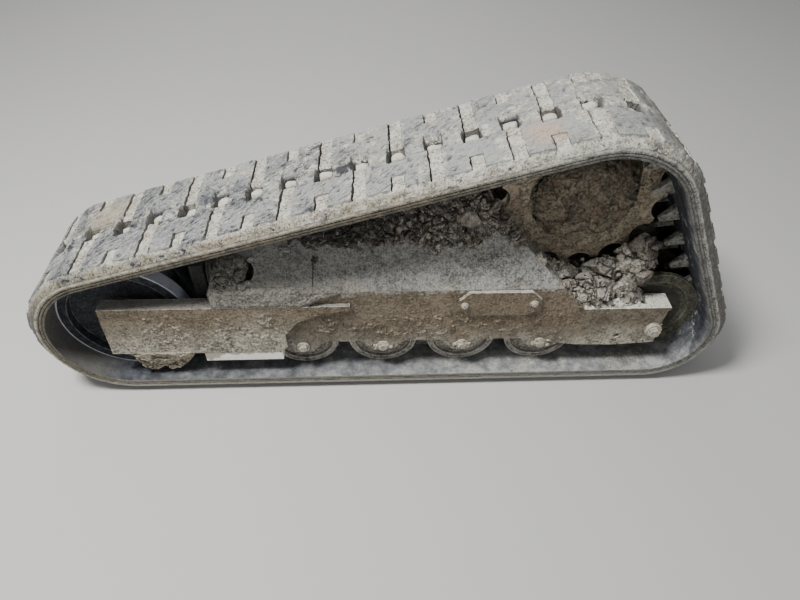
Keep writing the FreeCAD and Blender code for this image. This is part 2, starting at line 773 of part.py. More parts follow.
rear_bore = REAR_AXLE_R + SHAFT_GAP
rear_outline = guide_wheel(REAR_R - RUN_GAP, REAR_TREAD_Y, rear_bore, REAR_TREAD_Y)
save("rear_idler", turned(rear_outline, REAR_X, REAR_R))
rear_end_y = PLATE_Y + AXLE_PROUD
save("rear_axle", axle(REAR_AXLE_R, -rear_end_y, rear_end_y, REAR_X, REAR_R))

for number, roller_x in enumerate(ROLLERS, 1):
    save("roller_%d" % number, turned(roller_wheel(), roller_x, ROLLER_R))
    reach = PLATE_Y - PLATE_T
    save("roller_axle_%d" % number, axle(ROLLER_AXLE_R, -reach, reach, roller_x, ROLLER_R))

save("sprocket", sprocket())
save("drive_case", drive_case())
save("drive_motor", drive_motor())

for name, leg_x in zip(("front", "rear"), LEG_X):
    save("mounting_leg_" + name, mounting_leg(leg_x))
    save("mounting_foot_" + name, mounting_foot(leg_x))
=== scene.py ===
"""Rubber track undercarriage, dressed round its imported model: metres, +X to the rear, -Y outboard, +Z up."""
import math

import bmesh
import bpy
import numpy as np
from mathutils import Matrix, Vector, kdtree, noise


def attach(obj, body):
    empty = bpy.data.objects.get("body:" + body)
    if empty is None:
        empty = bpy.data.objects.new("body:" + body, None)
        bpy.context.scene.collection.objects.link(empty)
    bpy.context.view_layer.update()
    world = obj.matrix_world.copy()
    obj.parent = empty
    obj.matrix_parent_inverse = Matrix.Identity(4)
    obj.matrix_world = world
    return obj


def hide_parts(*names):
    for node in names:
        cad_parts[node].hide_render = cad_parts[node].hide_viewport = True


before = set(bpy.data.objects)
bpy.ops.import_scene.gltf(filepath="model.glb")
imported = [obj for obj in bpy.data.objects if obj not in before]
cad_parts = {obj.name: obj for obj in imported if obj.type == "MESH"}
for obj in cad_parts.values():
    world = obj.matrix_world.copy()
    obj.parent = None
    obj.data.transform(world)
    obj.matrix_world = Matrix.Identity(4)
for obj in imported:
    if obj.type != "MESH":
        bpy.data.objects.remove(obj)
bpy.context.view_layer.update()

# Camera. It stands outboard of the track and above it, where the photograph was taken,
# and looks down on the top run, the mud deck and the side plate.
CAMERA_PLACE = (-0.01784, -1.24240, 1.36876)
CAMERA_RIGHT = (0.99926374, -0.03667312, 0.01127193)
CAMERA_UP = (0.01774417, 0.70224451, 0.71171469)
CAMERA_FORWARD = (0.03401645, 0.71099067, -0.70237821)
lens = bpy.data.cameras.new("camera")
lens.sensor_width = 36.0
lens.lens = 27.37
lens.clip_start = 0.02
camera = bpy.data.objects.new("camera", lens)
bpy.context.scene.collection.objects.link(camera)
camera.matrix_world = Matrix([
    (CAMERA_RIGHT[i], CAMERA_UP[i], -CAMERA_FORWARD[i], CAMERA_PLACE[i]) for i in range(3)
] + [(0.0, 0.0, 0.0, 1.0)])
bpy.context.scene.camera = camera


# Studio. A plain pale floor, a soft light high above the track and a little in front of it, so
# that it grazes the upright faces, weak ones in front and behind, and an even grey sky.
def put(kind, sockets=None, tree=None, **settings):
    """Adds a node to a tree, or to that of its linked inputs, makes its settings and fills its inputs."""
    sockets = sockets or {}
    linked = [value for value in sockets.values() if isinstance(value, bpy.types.NodeSocket)]
    made = (tree or linked[0].id_data).nodes.new(kind)
    for name, value in settings.items():
        setattr(made, name, value)
    for name, value in sockets.items():
        if isinstance(value, bpy.types.NodeSocket):
            made.id_data.links.new(value, made.inputs[name])
        else:
            opaque = (1.0,) if made.inputs[name].type == "RGBA" else ()
            made.inputs[name].default_value = tuple(value) + opaque if opaque else value
    return made


def finish_of(name, rough=0.9, metal=0.0):
    """A new material: it, its shader and the Object coordinates."""
    material = bpy.data.materials.new(name)
    material.use_nodes = True
    shader = material.node_tree.nodes["Principled BSDF"]
    shader.inputs["Roughness"].default_value = rough
    shader.inputs["Metallic"].default_value = metal
    return material, shader, put("ShaderNodeTexCoord", tree=material.node_tree).outputs["Object"]


def mesh_of(name, points, faces):
    """A new mesh."""
    mesh = bpy.data.meshes.new(name)
    mesh.from_pydata([tuple(point) for point in points], [], faces)
    return mesh


def solid_of(name, mesh):
    """A new object at the origin with this mesh."""
    made = bpy.data.objects.new(name, mesh)
    bpy.context.scene.collection.objects.link(made)
    return made


FLOOR_HALF = 9.0
FLOOR_CORNERS = [(x * FLOOR_HALF, y * FLOOR_HALF, 0) for x, y in ((-1, -1), (1, -1), (1, 1), (-1, 1))]
floor = solid_of("floor", mesh_of("floor", FLOOR_CORNERS, [(0, 1, 2, 3)]))
floor_finish, floor_shader, _ = finish_of("pale_floor", rough=0.85)
floor_shader.inputs["Base Color"].default_value = (0.56, 0.55, 0.53, 1.0)
floor.data.materials.append(floor_finish)

LOOKED_AT = Vector((0.0, 0.0, 0.3))
for light_name, light_place, light_size, light_watts in (
    ("high_light", (-1.25, -0.75, 3.3), 0.7, 170.0),
    ("front_light", (0.4, -3.2, 2.2), 2.6, 13.0),
    ("floor_light", (-0.6, 4.0, 2.6), 3.0, 45.0),
):
    lamp = bpy.data.lights.new(light_name, "AREA")
    lamp.size = light_size
    lamp.energy = light_watts
    lit = solid_of(light_name, lamp)
    aim = (LOOKED_AT - Vector(light_place)).to_track_quat("-Z", "Y")
    lit.matrix_world = Matrix.Translation(light_place) @ aim.to_matrix().to_4x4()
sky = bpy.data.worlds.new("even_sky")
bpy.context.scene.world = sky
sky.use_nodes = True
sky.node_tree.nodes["Background"].inputs["Color"].default_value = (0.93, 0.96, 1.0, 1.0)
sky.node_tree.nodes["Background"].inputs["Strength"].default_value = 0.27


# Frame of welded plate: main box with its sloping mud deck, side plates, guards, rear beam,
# yoke and legs. Grey paint under dust, and a brown crust of dried mud on the lower faces.
def shade_group(name, takes, gives):
    """A shader node group with named sockets: its tree, what comes in and what goes out."""
    tree = bpy.data.node_groups.new(name, "ShaderNodeTree")
    for label, kind, value in [("Place", "Vector", None)] + takes:
        socket = tree.interface.new_socket(label, in_out="INPUT", socket_type="NodeSocket" + kind)
        if value is not None:
            socket.default_value = value
    for label, kind in gives:
        tree.interface.new_socket(label, in_out="OUTPUT", socket_type="NodeSocket" + kind)
    return tree, put("NodeGroupInput", tree=tree).outputs, put("NodeGroupOutput", tree=tree).inputs


def link(value, socket):
    """Links an output to an input."""
    socket.id_data.links.new(value, socket)


def ramp(value, low, high, to_low=0.0, to_high=1.0):
    """A value moved from one range to another, and held inside it."""
    return put("ShaderNodeMapRange", {
        "Value": value, "From Min": low, "From Max": high, "To Min": to_low, "To Max": to_high}).outputs["Result"]


def maths(kind, first, *others):
    """Values taken together one after another."""
    for value in others:
        first = put("ShaderNodeMath", {0: first, 1: value}, operation=kind).outputs[0]
    return first


def plus(*values):
    """Values added."""
    return maths("ADD", *values)


def times(*values):
    """Values multiplied."""
    return maths("MULTIPLY", *values)


def blend(share, a, b):
    """Colour a turning into colour b as the share goes from 0 to 1."""
    return put("ShaderNodeMix", {0: share, 6: a, 7: b}, data_type="RGBA").outputs[2]


def cloud(place, scale, detail, rough=0.5, warp=0.0):
    """Cloudy noise."""
    return put("ShaderNodeTexNoise", {
        "Vector": place, "Scale": scale, "Detail": detail, "Roughness": rough, "Distortion": warp}).outputs["Fac"]


def axes(place):
    """X, Y and Z of a place or a direction."""
    return put("ShaderNodeSeparateXYZ", {"Vector": place}).outputs


def facing(tree):
    """The way a surface faces."""
    return put("ShaderNodeNewGeometry", tree=tree).outputs["Normal"]


crust_group, crust_in, crust_out = shade_group(
    "dried_crust",
    [("Pale", "Color", (0.5, 0.48, 0.42, 1)), ("Dark", "Color", (0.1, 0.09, 0.07, 1)), ("Grains", "Float", 160.0), ("Lean", "Float", 0.5)],
    [("Color", "Color"), ("Height", "Float")])
wide, middling, fine = [cloud(crust_in["Place"], times(crust_in["Grains"], part), detail, 0.68)
                        for part, detail in ((0.08, 6.0), (0.3, 4.0), (0.9, 3.0))]
cells = put("ShaderNodeTexVoronoi", {"Vector": crust_in["Place"], "Scale": times(crust_in["Grains"], 0.7), "Randomness": 1.0}).outputs
pick = put("ShaderNodeSeparateColor", {"Color": cells["Color"]}).outputs["Red"]
grain = times(ramp(cells["Distance"], 0.45, 0.25), maths("SUBTRACT", ramp(pick, 0.64, 0.7), ramp(pick, 0.3, 0.24)))
crust_share = plus(crust_in["Lean"], ramp(wide, 0.36, 0.64, -0.24, 0.24), ramp(middling, 0.36, 0.64, -0.3, 0.3),
                   ramp(fine, 0.36, 0.64, -0.42, 0.42), times(grain, 0.5))
link(blend(ramp(crust_share, 0.0, 1.0), crust_in["Dark"], crust_in["Pale"]), crust_out["Color"])
link(plus(times(wide, 1.4), middling, plus(times(grain, 0.45), times(fine, 0.6))), crust_out["Height"])

dust_group, dust_in, dust_out = shade_group("settled_dust", [("Amount", "Float", 1.0), ("Patches", "Float", 14.0)], [("Mask", "Float")])
dusty = plus(axes(facing(dust_group))["Z"], ramp(cloud(dust_in["Place"], dust_in["Patches"], 6.0, 0.6), 0.35, 0.65, -0.35, 0.35))
link(times(dust_in["Amount"], ramp(dusty, 0.25, 0.95)), dust_out["Mask"])

# Edges made paler: partly rubbed to metal, partly a painted highlight; with Upward at 1, only edges that face up, where
# the light falls.
edge_group, edge_in, edge_out = shade_group(
    "rubbed_edge_highlight", [("Reach", "Float", 0.003), ("Amount", "Float", 1.0), ("Upward", "Float", 0.0)], [("Mask", "Float")])
edge_round = put("ShaderNodeBevel", {"Radius": edge_in["Reach"]}, samples=6).outputs["Normal"]
edge_turn = put("ShaderNodeVectorMath", {0: edge_round, 1: facing(edge_group)}, operation="DOT_PRODUCT").outputs["Value"]
edge_where = maths("MAXIMUM", ramp(axes(edge_round)["Z"], 0.15, 0.4), maths("SUBTRACT", 1.0, edge_in["Upward"]))
link(times(edge_in["Amount"], edge_where, times(ramp(edge_turn, 0.99, 0.93), ramp(cloud(edge_in["Place"], 55.0, 5.0, 0.7), 0.36, 0.56))),
     edge_out["Mask"])


def group_in(group, **sockets):
    """Places a shader node group and fills its inputs."""
    return put("ShaderNodeGroup", sockets, node_tree=group).outputs


def finished(shader, color, height, depth):
    """Joins a finish's colour and its small relief, in metres, to its shader."""
    link(color, shader.inputs["Base Color"])
    link(put("ShaderNodeBump", {"Height": height, "Distance": depth, "Strength": 1.0}).outputs["Normal"], shader.inputs["Normal"])


FRONT_SHADE_DARK = (0.075, 0.075, 0.07)
MUD_BROWN = (0.255, 0.205, 0.14)
MUD_DARK = (0.10, 0.078, 0.05)
MUD_GREY = (0.40, 0.37, 0.30)
MUD_GREY_DARK = (0.13, 0.115, 0.09)
DUST_PALE = (0.58, 0.56, 0.50)
BARE_EDGE_HIGHLIGHT = (0.86, 0.84, 0.78)


def frame_finish(name, upper, lower, z_low, z_high, dust=0.6, edge=0.5, relief=0.0014, grains=260.0, lean=0.5,
                 front_shade=(-2.0, -1.0), reach=0.0026, powder=DUST_PALE, spill=1.0):
    """Muddy paint: upper = (pale, dark) above z_high, lower the same below z_low, dust on top, upper edges rubbed to
    metal and painted with a highlight.

    Painted shade darkens the finish towards the front, between two places along X; on the side plate it also stands for
    damper mud. Grey mud lies over it above spill."""
    material, shader, place = finish_of(name, rough=0.92)
    parts = axes(place)
    level = plus(parts["Z"], ramp(cloud(place, 9.0, 5.0), 0.3, 0.7, -0.03, 0.03))
    over = group_in(crust_group, Place=place, Pale=upper[0], Dark=upper[1], Grains=grains, Lean=lean)
    under = group_in(crust_group, Place=place, Pale=lower[0], Dark=lower[1], Grains=grains * 0.8, Lean=lean)
    color = blend(ramp(level, z_high, z_low), over["Color"], under["Color"])
    color = blend(group_in(dust_group, Place=place, Amount=dust, Patches=16.0)["Mask"], color, powder)
    run = plus(parts["Z"], ramp(cloud(place, 45.0, 5.0), 0.3, 0.7, -0.011, 0.011))
    spilt = group_in(crust_group, Place=place, Pale=(0.44, 0.42, 0.36), Dark=(0.13, 0.12, 0.10), Grains=grains, Lean=0.5)
    color = blend(ramp(run, spill - 0.003, spill + 0.006), color, spilt["Color"])
    # painted shade, darker towards the front
    color = blend(ramp(parts["X"], front_shade[1], front_shade[0], 0.0, 0.6), color, FRONT_SHADE_DARK)
    rubbed = group_in(edge_group, Place=place, Reach=reach, Amount=edge, Upward=1.0)["Mask"]
    finished(shader, blend(rubbed, color, BARE_EDGE_HIGHLIGHT), under["Height"], relief)
    return material


def dress(material, *nodes):
    """Gives CAD nodes their finish."""
    for name in nodes:
        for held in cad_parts[name].material_slots:
            held.material = material


BROWN_CRUST = (MUD_BROWN, MUD_DARK)
dress(frame_finish("deck_dust", ((0.39, 0.385, 0.355), (0.09, 0.088, 0.08)), ((0.46, 0.43, 0.36), MUD_GREY_DARK), 0.325, 0.36,
                   dust=0.2, edge=0.15, relief=0.0030, grains=230.0, lean=0.53, front_shade=(-0.55, 0.2)), "deck_body")
side_plate_mud = frame_finish("side_plate_mud", BROWN_CRUST, (MUD_GREY, MUD_GREY_DARK), 0.13, 0.21, edge=0.25, relief=0.0045,
                              grains=190.0, lean=0.47, spill=0.324, front_shade=(-0.5, 0.1), powder=(0.33, 0.29, 0.22))
dress(side_plate_mud, "outer_plate", "inner_plate")
guard_mud = frame_finish("guard_mud", BROWN_CRUST, ((0.60, 0.56, 0.46), MUD_GREY_DARK), 0.14, 0.27, relief=0.0050, grains=190.0,
                         edge=0.6, front_shade=(-1.6, -0.6), powder=(0.32, 0.315, 0.29))
dress(guard_mud, "front_guard_outer", "front_guard_inner")
dress(frame_finish("cover_mud", BROWN_CRUST, BROWN_CRUST, 0.2, 0.3, edge=1.0, relief=0.0045, grains=190.0, reach=0.004), "access_cover")
dress(frame_finish("rear_beam_mud", ((0.235, 0.205, 0.15), MUD_DARK), ((0.60, 0.56, 0.45), MUD_GREY_DARK), 0.13, 0.2, dust=1.0,
                   relief=0.0045, grains=190.0, edge=0.8, powder=(0.72, 0.69, 0.60)), "rear_beam")
# the yoke and legs inside the loop: near black above as painted shade, brown crust below
dress(frame_finish("hidden_frame_shade_and_mud", ((0.05, 0.05, 0.048), (0.02, 0.02, 0.02)), BROWN_CRUST, 0.2, 0.26, dust=0.05, edge=0.1),
      "yoke_arm_outer", "yoke_arm_inner", "yoke_back", "mounting_leg_front", "mounting_leg_rear",
      "mounting_foot_front", "mounting_foot_rear")


# Bare steel: wear strips, axles, the recoil rod and its spring. The strips are rubbed bright
# by the ground under ragged mud, the rest is grey-brown with dust and a little rust.
def steel_finish(name, pale, dark, rough, metal, lean=0.72, caked=None):
    """Bare steel with streaks, dust and rubbed edges painted with a highlight, under mud above a height."""
    material, shader, place = finish_of(name, rough=rough, metal=metal)
    crust = group_in(crust_group, Place=place, Pale=pale, Dark=dark, Grains=240.0, Lean=lean)
    color = blend(group_in(edge_group, Place=place, Reach=0.003, Amount=0.8)["Mask"], crust["Color"], BARE_EDGE_HIGHLIGHT)
    if caked:
        parts = axes(place)
        height = plus(parts["Z"], ramp(cloud(place, 60.0, 4.0), 0.3, 0.7, -0.006, 0.006), ramp(parts["X"], -0.465, -0.43, 0.02, 0.0))
        color = blend(ramp(height, caked, caked + 0.004), color, MUD_GREY)
    finished(shader, color, crust["Height"], 0.0006)
    return material


dress(steel_finish("strip_bright", (0.93, 0.91, 0.84), (0.42, 0.39, 0.33), 0.5, 0.0, lean=1.1, caked=0.1225),
      "wear_strip_outer", "wear_strip_inner")
dress(steel_finish("axle_dull", (0.42, 0.39, 0.33), (0.14, 0.11, 0.08), 0.6, 0.4),
      "front_axle", "rear_axle", "roller_axle_1", "roller_axle_2", "roller_axle_3", "roller_axle_4")
dress(steel_finish("spring_dark", (0.20, 0.185, 0.16), (0.05, 0.045, 0.04), 0.7, 0.2), "tensioner", "recoil_spring")


# Castings: drive sprocket, final drive, travel motor, idlers and rollers. Rough iron caked
# brown, rubbed to dull metal on the treads where the belt runs.
def casting_finish(name, pale, dark, edge, relief=0.0015, grains=150.0, lean=0.5, edge_worn_and_lit=(0.55, 0.53, 0.48), red=0.0,
                   recess=None, highlight_ring=None):
    """Cast iron under caked mud, reddish where rust comes through, its edges rubbed to metal and painted with a
    highlight.

    Painted shade darkens it inside a recess, and a painted highlight lies on a ring, each given as (x, z, radius)."""
    material, shader, place = finish_of(name, rough=0.88)
    crust = group_in(crust_group, Place=place, Pale=pale, Dark=dark, Grains=grains, Lean=lean)
    rust = cloud(place, 17.0, 5.0)
    color = blend(ramp(rust, 0.5, 0.66, 0.0, red), crust["Color"], (0.25, 0.135, 0.08))
    centred = recess or highlight_ring
    if centred:
        across = put("ShaderNodeVectorMath", {0: place, 1: (1.0, 0.0, 1.0)}, operation="MULTIPLY").outputs[0]
        off = put("ShaderNodeVectorMath", {0: across, 1: (centred[0], 0.0, centred[1])}, operation="DISTANCE").outputs["Value"]
    # painted shade: near black inside the recess
    if recess:
        color = blend(ramp(off, recess[2] + 0.003, recess[2] - 0.001, 0.0, 0.75), color, (0.03, 0.025, 0.02))
    # painted highlight: a blue-white ring on the rim
    if highlight_ring:
        ring = ramp(maths("ABSOLUTE", maths("SUBTRACT", off, highlight_ring[2]), 0.0), 0.0030, 0.0014)
        color = blend(times(ring, ramp(rust, 0.3, 0.5, 0.35, 0.9)), color, (0.62, 0.66, 0.74))
    rubbed = group_in(edge_group, Place=place, Reach=0.004, Amount=edge)["Mask"]
    finished(shader, blend(rubbed, color, edge_worn_and_lit), crust["Height"], relief)
    return material


dress(casting_finish("sprocket_caked", (0.47, 0.40, 0.285), (0.13, 0.105, 0.075), 0.6, edge_worn_and_lit=(0.58, 0.51, 0.38), red=0.4,
                     recess=(0.4749, 0.532, 0.157)), "sprocket", "drive_case")
dress(casting_finish("motor_caked", (0.22, 0.19, 0.14), (0.07, 0.06, 0.045), 0.3), "drive_motor")
# painted shade: the idlers are coloured near black and dark olive, as they lie in the shade of the guard and the belt
dress(casting_finish("idler_iron", (0.05, 0.054, 0.062), (0.012, 0.013, 0.016), 0.3, relief=0.0006, edge_worn_and_lit=BARE_EDGE_HIGHLIGHT,
                     highlight_ring=(-0.6759, 0.216, 0.168)), "front_idler")
dress(casting_finish("rear_idler_iron", (0.125, 0.12, 0.085), (0.03, 0.029, 0.02), 0.3, recess=(0.7089, 0.183, 0.094)), "rear_idler")
dress(casting_finish("roller_iron", (0.40, 0.38, 0.33), (0.10, 0.085, 0.065), 0.9, edge_worn_and_lit=BARE_EDGE_HIGHLIGHT),
      "roller_1", "roller_2", "roller_3", "roller_4")


# Rubber track. One endless moulded belt with two staggered rows of lugs, worn almost level
# with the pale mud that has dried in the grooves; steel cords run inside it.
MM = 0.001
BELT_Y = -38.0 * MM
LINK = 86.0
LINKS = 48
CORD = 17.0
WHEELS = ((-675.863, 216.0, 170.0), (474.864, 532.0, 188.329), (708.864, 183.0, 137.0))
FIRST_WINDOW = 18.8
TREAD = 46.0
SHOULDER = 26.0
BELT_EDGE = 160.0
LUG_END = 140.0
WINDOW_HALF = 19.0
WINDOW_SIDE = 22.0
GAP_HALF = 16.0
BITE_HALF = 15.0
BITE_END = 92.0
MUD_LEVEL = 43.0


def belt_runs():
    """Straight runs and arcs of the cord line, clockwise from the front idler, in mm."""
    lines = []
    for i in range(3):
        ax, az, ar = WHEELS[i]
        bx, bz, br = WHEELS[(i + 1) % 3]
        length = math.hypot(bx - ax, bz - az)
        dx, dz = (bx - ax) / length, (bz - az) / length
        lean = (ar - br) / length
        flat = math.sqrt(1.0 - lean * lean)
        nx, nz = -dz * flat + dx * lean, dx * flat + dz * lean
        lines.append(((ax + nx * (ar + CORD), az + nz * (ar + CORD)), (bx + nx * (br + CORD), bz + nz * (br + CORD)), (nx, nz)))
    runs = []
    for i in range(3):
        start, end, normal = lines[i]
        after = lines[(i + 1) % 3][2]
        a0 = math.atan2(normal[1], normal[0])
        turn = (a0 - math.atan2(after[1], after[0])) % (2.0 * math.pi)
        x, z, r = WHEELS[(i + 1) % 3]
        runs.append((math.hypot(end[0] - start[0], end[1] - start[1]), start, end, normal))
        runs.append(((r + CORD) * turn, (x, z, r + CORD), a0, turn))
    return runs


RUNS = belt_runs()
LOOP = LINK * LINKS


def on_belt(s):
    """Point of the cord line and its outward direction at a distance along it, in mm."""
    left = s % LOOP
    for run in RUNS:
        if left <= run[0] or run is RUNS[-1]:
            break
        left -= run[0]
    if isinstance(run[3], tuple):
        share = left / run[0]
        return (run[1][0] + (run[2][0] - run[1][0]) * share, run[1][1] + (run[2][1] - run[1][1]) * share) + run[3]
    angle = run[2] - run[3] * left / run[0]
    return (run[1][0] + run[1][2] * math.cos(angle), run[1][1] + run[1][2] * math.sin(angle),
            math.cos(angle), math.sin(angle))


BELT_START = FIRST_WINDOW - LINK / 2.0
cord_line = bpy.data.curves.new("cord_line", "CURVE")
cord_line.dimensions = "3D"
cord_spline = cord_line.splines.new("POLY")
CORD_POINTS = 1032
cord_spline.points.add(CORD_POINTS - 1)
for i in range(CORD_POINTS):
    px, pz, _, _ = on_belt(BELT_START + LOOP * i / CORD_POINTS)
    cord_spline.points[i].co = (px * MM, BELT_Y, pz * MM, 1.0)
cord_spline.use_cyclic_u = True
cord_guide = solid_of("cord_line", cord_line)


def rising(a, b, x):
    """0 below a, 1 above b, straight between."""
    return np.clip((x - a) / (b - a), 0.0, 1.0)


def tread_form(s, y):
    """Height of the tread and its share of mud over one tile of two links, in mm."""
    height = np.full(s.shape, TREAD)
    mud = np.zeros(s.shape)
    for link in range(2):
        along = s - LINK * (link + 0.5)
        side = y * (-1.0 if link == 0 else 1.0)
        inside = (side > WINDOW_SIDE - 0.5) & (side < LUG_END + 0.5)
        gap = inside * rising(GAP_HALF + 0.5, GAP_HALF - 0.5, np.abs(along))
        crack = inside * (along < 0) * rising(GAP_HALF - 3.2, GAP_HALF - 2.6, np.abs(along))
        height -= gap * (TREAD - MUD_LEVEL) + gap * crack * 11.0
        ahead, behind = rising(GAP_HALF + 11.0, GAP_HALF + 0.5, along), rising(-GAP_HALF - 5.0, -GAP_HALF, along)
        spill = inside * np.maximum(ahead, behind * (along < 0)) * (np.abs(along) > GAP_HALF)
        mud = np.maximum(mud, np.maximum(gap * (1.0 - crack), spill * 0.3))
        end = rising(BITE_END - 0.6, BITE_END + 0.6, -side) * (-side < LUG_END + 0.5)
        bite = end * rising(BITE_HALF + 0.5, BITE_HALF - 0.5, np.abs(along))
        nick = (along < 0) * rising(BITE_HALF - 3.0, BITE_HALF - 2.4, np.abs(along)) * (-side < LUG_END - 2)
        height -= bite * (TREAD - MUD_LEVEL + 0.5) + bite * nick * 8.0
        mud = np.maximum(mud, bite * (1.0 - nick))
        near_window = rising(WINDOW_HALF + 3.5, WINDOW_HALF, np.abs(along))
        wall = near_window * rising(37.0, WINDOW_SIDE, -side) * (-side > 0)
        height -= wall * 17.0
        pocket = near_window * rising(WINDOW_SIDE + 4.0, WINDOW_SIDE, side) * (side > 0)
        height -= pocket * 5.0
    out = np.abs(y)
    bridge = rising(WINDOW_HALF, WINDOW_HALF + 4.0, np.abs((s % LINK) - LINK / 2.0))
    height += bridge * (1.8 * rising(WINDOW_SIDE, 7.0, out) - 3.5 * rising(WINDOW_SIDE - 0.5, 24.0, out) * rising(27.0, 24.0, out))
    mud = np.maximum(mud, bridge * rising(24.0, WINDOW_SIDE, out) * 0.4)
    margin = rising(LUG_END, LUG_END + 1.4, out)
    slope = TREAD - 5.0 - (TREAD - 5.0 - SHOULDER) * rising(LUG_END + 1.4, BELT_EDGE - 4.0, out) ** 1.3
    height = height * (1.0 - margin) + np.minimum(slope, height) * margin
    mud = np.maximum(mud, margin * 0.8)
    return height, mud


LINK_LINES = (-43, -37.5, -32, -26.5, -22.5, -19, -16.5, -15.5, -14.3, -12.9, -12.1, -6, 0, 6, 11, 14.5, 15.5, 16.5, 19, 22.5, 26.5, 32, 37.5)
HALF_LINES = (7, 14.5, 22, 24, 27, 31, 37, 44, 51, 58, 65, 72, 79, 86, 91.4, 92.6, 98, 105, 112, 119, 126, 133, 139.5,
              141.4, 146, 151, 156)
SIDE_STEPS = ((158.6, 24.0), (160, 20.5), (160, 15), (158.2, 13.2), (160, 11.5), (160, 7.5), (158.4, 6), (160, 4.5), (159.2, 0))
INNER_LINES = (-120, -80, -49, -22, -14.5, -7, 0, 7, 14.5, 22, 49, 80, 120)


def share_of(value):
    """A value held between 0 and 1."""
    return min(max(value, 0.0), 1.0)


def smoothed(mesh, degrees):
    """Shades a mesh smooth but for edges sharper than this."""
    mesh.polygons.foreach_set("use_smooth", [True] * len(mesh.polygons))
    mesh.set_sharp_from_angle(angle=math.radians(degrees))


def hold(mesh, name, values):
    """Keeps an array as a point attribute."""
    mesh.attributes.new(name, "FLOAT", "POINT").data.foreach_set("value", values)


def belt_tile():
    """Two links of the belt laid out flat along X, open at both ends, in metres."""
    s_lines = [LINK * (link + 0.5) + x for link in range(2) for x in LINK_LINES] + [2.0 * LINK]
    outer = [-x for x in reversed(HALF_LINES)] + [0.0] + list(HALF_LINES)
    ring = [(y, None) for y in outer] + [(y, z) for y, z in SIDE_STEPS]
    ring += [(y, 0.0) for y in reversed(INNER_LINES)] + [(-y, z) for y, z in reversed(SIDE_STEPS)]
    grid_s, grid_y = np.meshgrid(s_lines, [y for y, _ in ring], indexing="ij")
    height, mud = tread_form(grid_s, grid_y)
    for j, (_, z) in enumerate(ring):
        if z is not None:
            height[:, j] = z
            mud[:, j] = 0.0
    count = len(ring)
    flat = np.stack([grid_s, grid_y, height - CORD], axis=2).reshape(-1, 3) * MM
    faces = []
    first_inner = len(outer) + len(SIDE_STEPS)

    def in_window(s_mid, y_mid):
        return abs(y_mid) < WINDOW_SIDE and abs((s_mid % LINK) - LINK / 2.0) < WINDOW_HALF

    outer_at = {y: j for j, y in enumerate(outer)}
    inner_at = {y: first_inner + k for k, y in enumerate(reversed(INNER_LINES))}
    for i in range(len(s_lines) - 1):
        s_mid = (s_lines[i] + s_lines[i + 1]) / 2.0
        for j in range(count):
            k = (j + 1) % count
            on_top = j < len(outer) - 1
            beneath = first_inner <= j < first_inner + len(INNER_LINES) - 1
            if (on_top or beneath) and in_window(s_mid, (ring[j][0] + ring[k][0]) / 2.0):
                continue
            faces.append((i * count + j, (i + 1) * count + j, (i + 1) * count + k, i * count + k))
        if abs((s_mid % LINK) - LINK / 2.0) < WINDOW_HALF:
            for y in (-WINDOW_SIDE, WINDOW_SIDE):
                a, b = i * count + outer_at[y], (i + 1) * count + outer_at[y]
                c, d = (i + 1) * count + inner_at[y], i * count + inner_at[y]
                faces.append((a, b, c, d) if y < 0 else (d, c, b, a))
    for link in range(2):
        for x in (-WINDOW_HALF, WINDOW_HALF):
            i = s_lines.index(LINK * (link + 0.5) + x)
            for y0, y1 in zip((-22, -14.5, -7, 0, 7, 14.5), (-14.5, -7, 0, 7, 14.5, 22)):
                a, b = i * count + outer_at[y0], i * count + outer_at[y1]
                c, d = i * count + inner_at[y1], i * count + inner_at[y0]
                faces.append((a, d, c, b) if x < 0 else (a, b, c, d))
    mesh = mesh_of("belt_tile", flat, faces)
    hold(mesh, "mud", mud.reshape(-1))
    tops = np.array([[1.0 if z is None else 0.0 for _, z in ring]] * len(s_lines)).reshape(-1)
    hold(mesh, "tread", tops)
    return mesh


def node_tree_of(name, inputs):
    """A Geometry Nodes tree with a mesh in and out, and named inputs: tree, inputs, output."""
    tree = bpy.data.node_groups.new(name, "GeometryNodeTree")
    tree.interface.new_socket("Geometry", in_out="INPUT", socket_type="NodeSocketGeometry")
    for label, kind in inputs:
        tree.interface.new_socket(label, in_out="INPUT", socket_type="NodeSocket" + kind)
    tree.interface.new_socket("Geometry", in_out="OUTPUT", socket_type="NodeSocketGeometry")
    return tree, put("NodeGroupInput", tree=tree).outputs, put("NodeGroupOutput", tree=tree).inputs["Geometry"]


def grown(name, mesh, tree, values):
    """Runs a tree on a mesh with its inputs set, and keeps the result as a plain object."""
    rough = solid_of(name + "_start", mesh)
    modifier = rough.modifiers.new("grow", "NODES")
    modifier.node_group = tree
    for item in tree.interface.items_tree:
        if item.in_out == "INPUT" and item.name in values:
            modifier[item.identifier] = values[item.name]
    bpy.context.view_layer.update()
    result = bpy.data.meshes.new_from_object(rough.evaluated_get(bpy.context.evaluated_depsgraph_get()))
    result.name = name
    bpy.data.objects.remove(rough)
    return solid_of(name, result)


def stored(points, name, value, kind="FLOAT"):
    """Keeps a value on a geometry's points."""
    return put("GeometryNodeStoreNamedAttribute", {"Geometry": points, "Name": name, "Value": value}, data_type=kind, domain="POINT").outputs[0]


def set_on(points, piece, finish, end, **settings):
    """Sets a piece on points as one real mesh with its finish, and hands it to the tree's end."""
    pieces = put("GeometryNodeInstanceOnPoints", dict(Points=points, Instance=piece, **settings)).outputs[0]
    pieces = put("GeometryNodeRealizeInstances", {"Geometry": pieces}).outputs[0]
    link(put("GeometryNodeSetMaterial", {"Geometry": pieces, "Material": finish}).outputs[0], end)


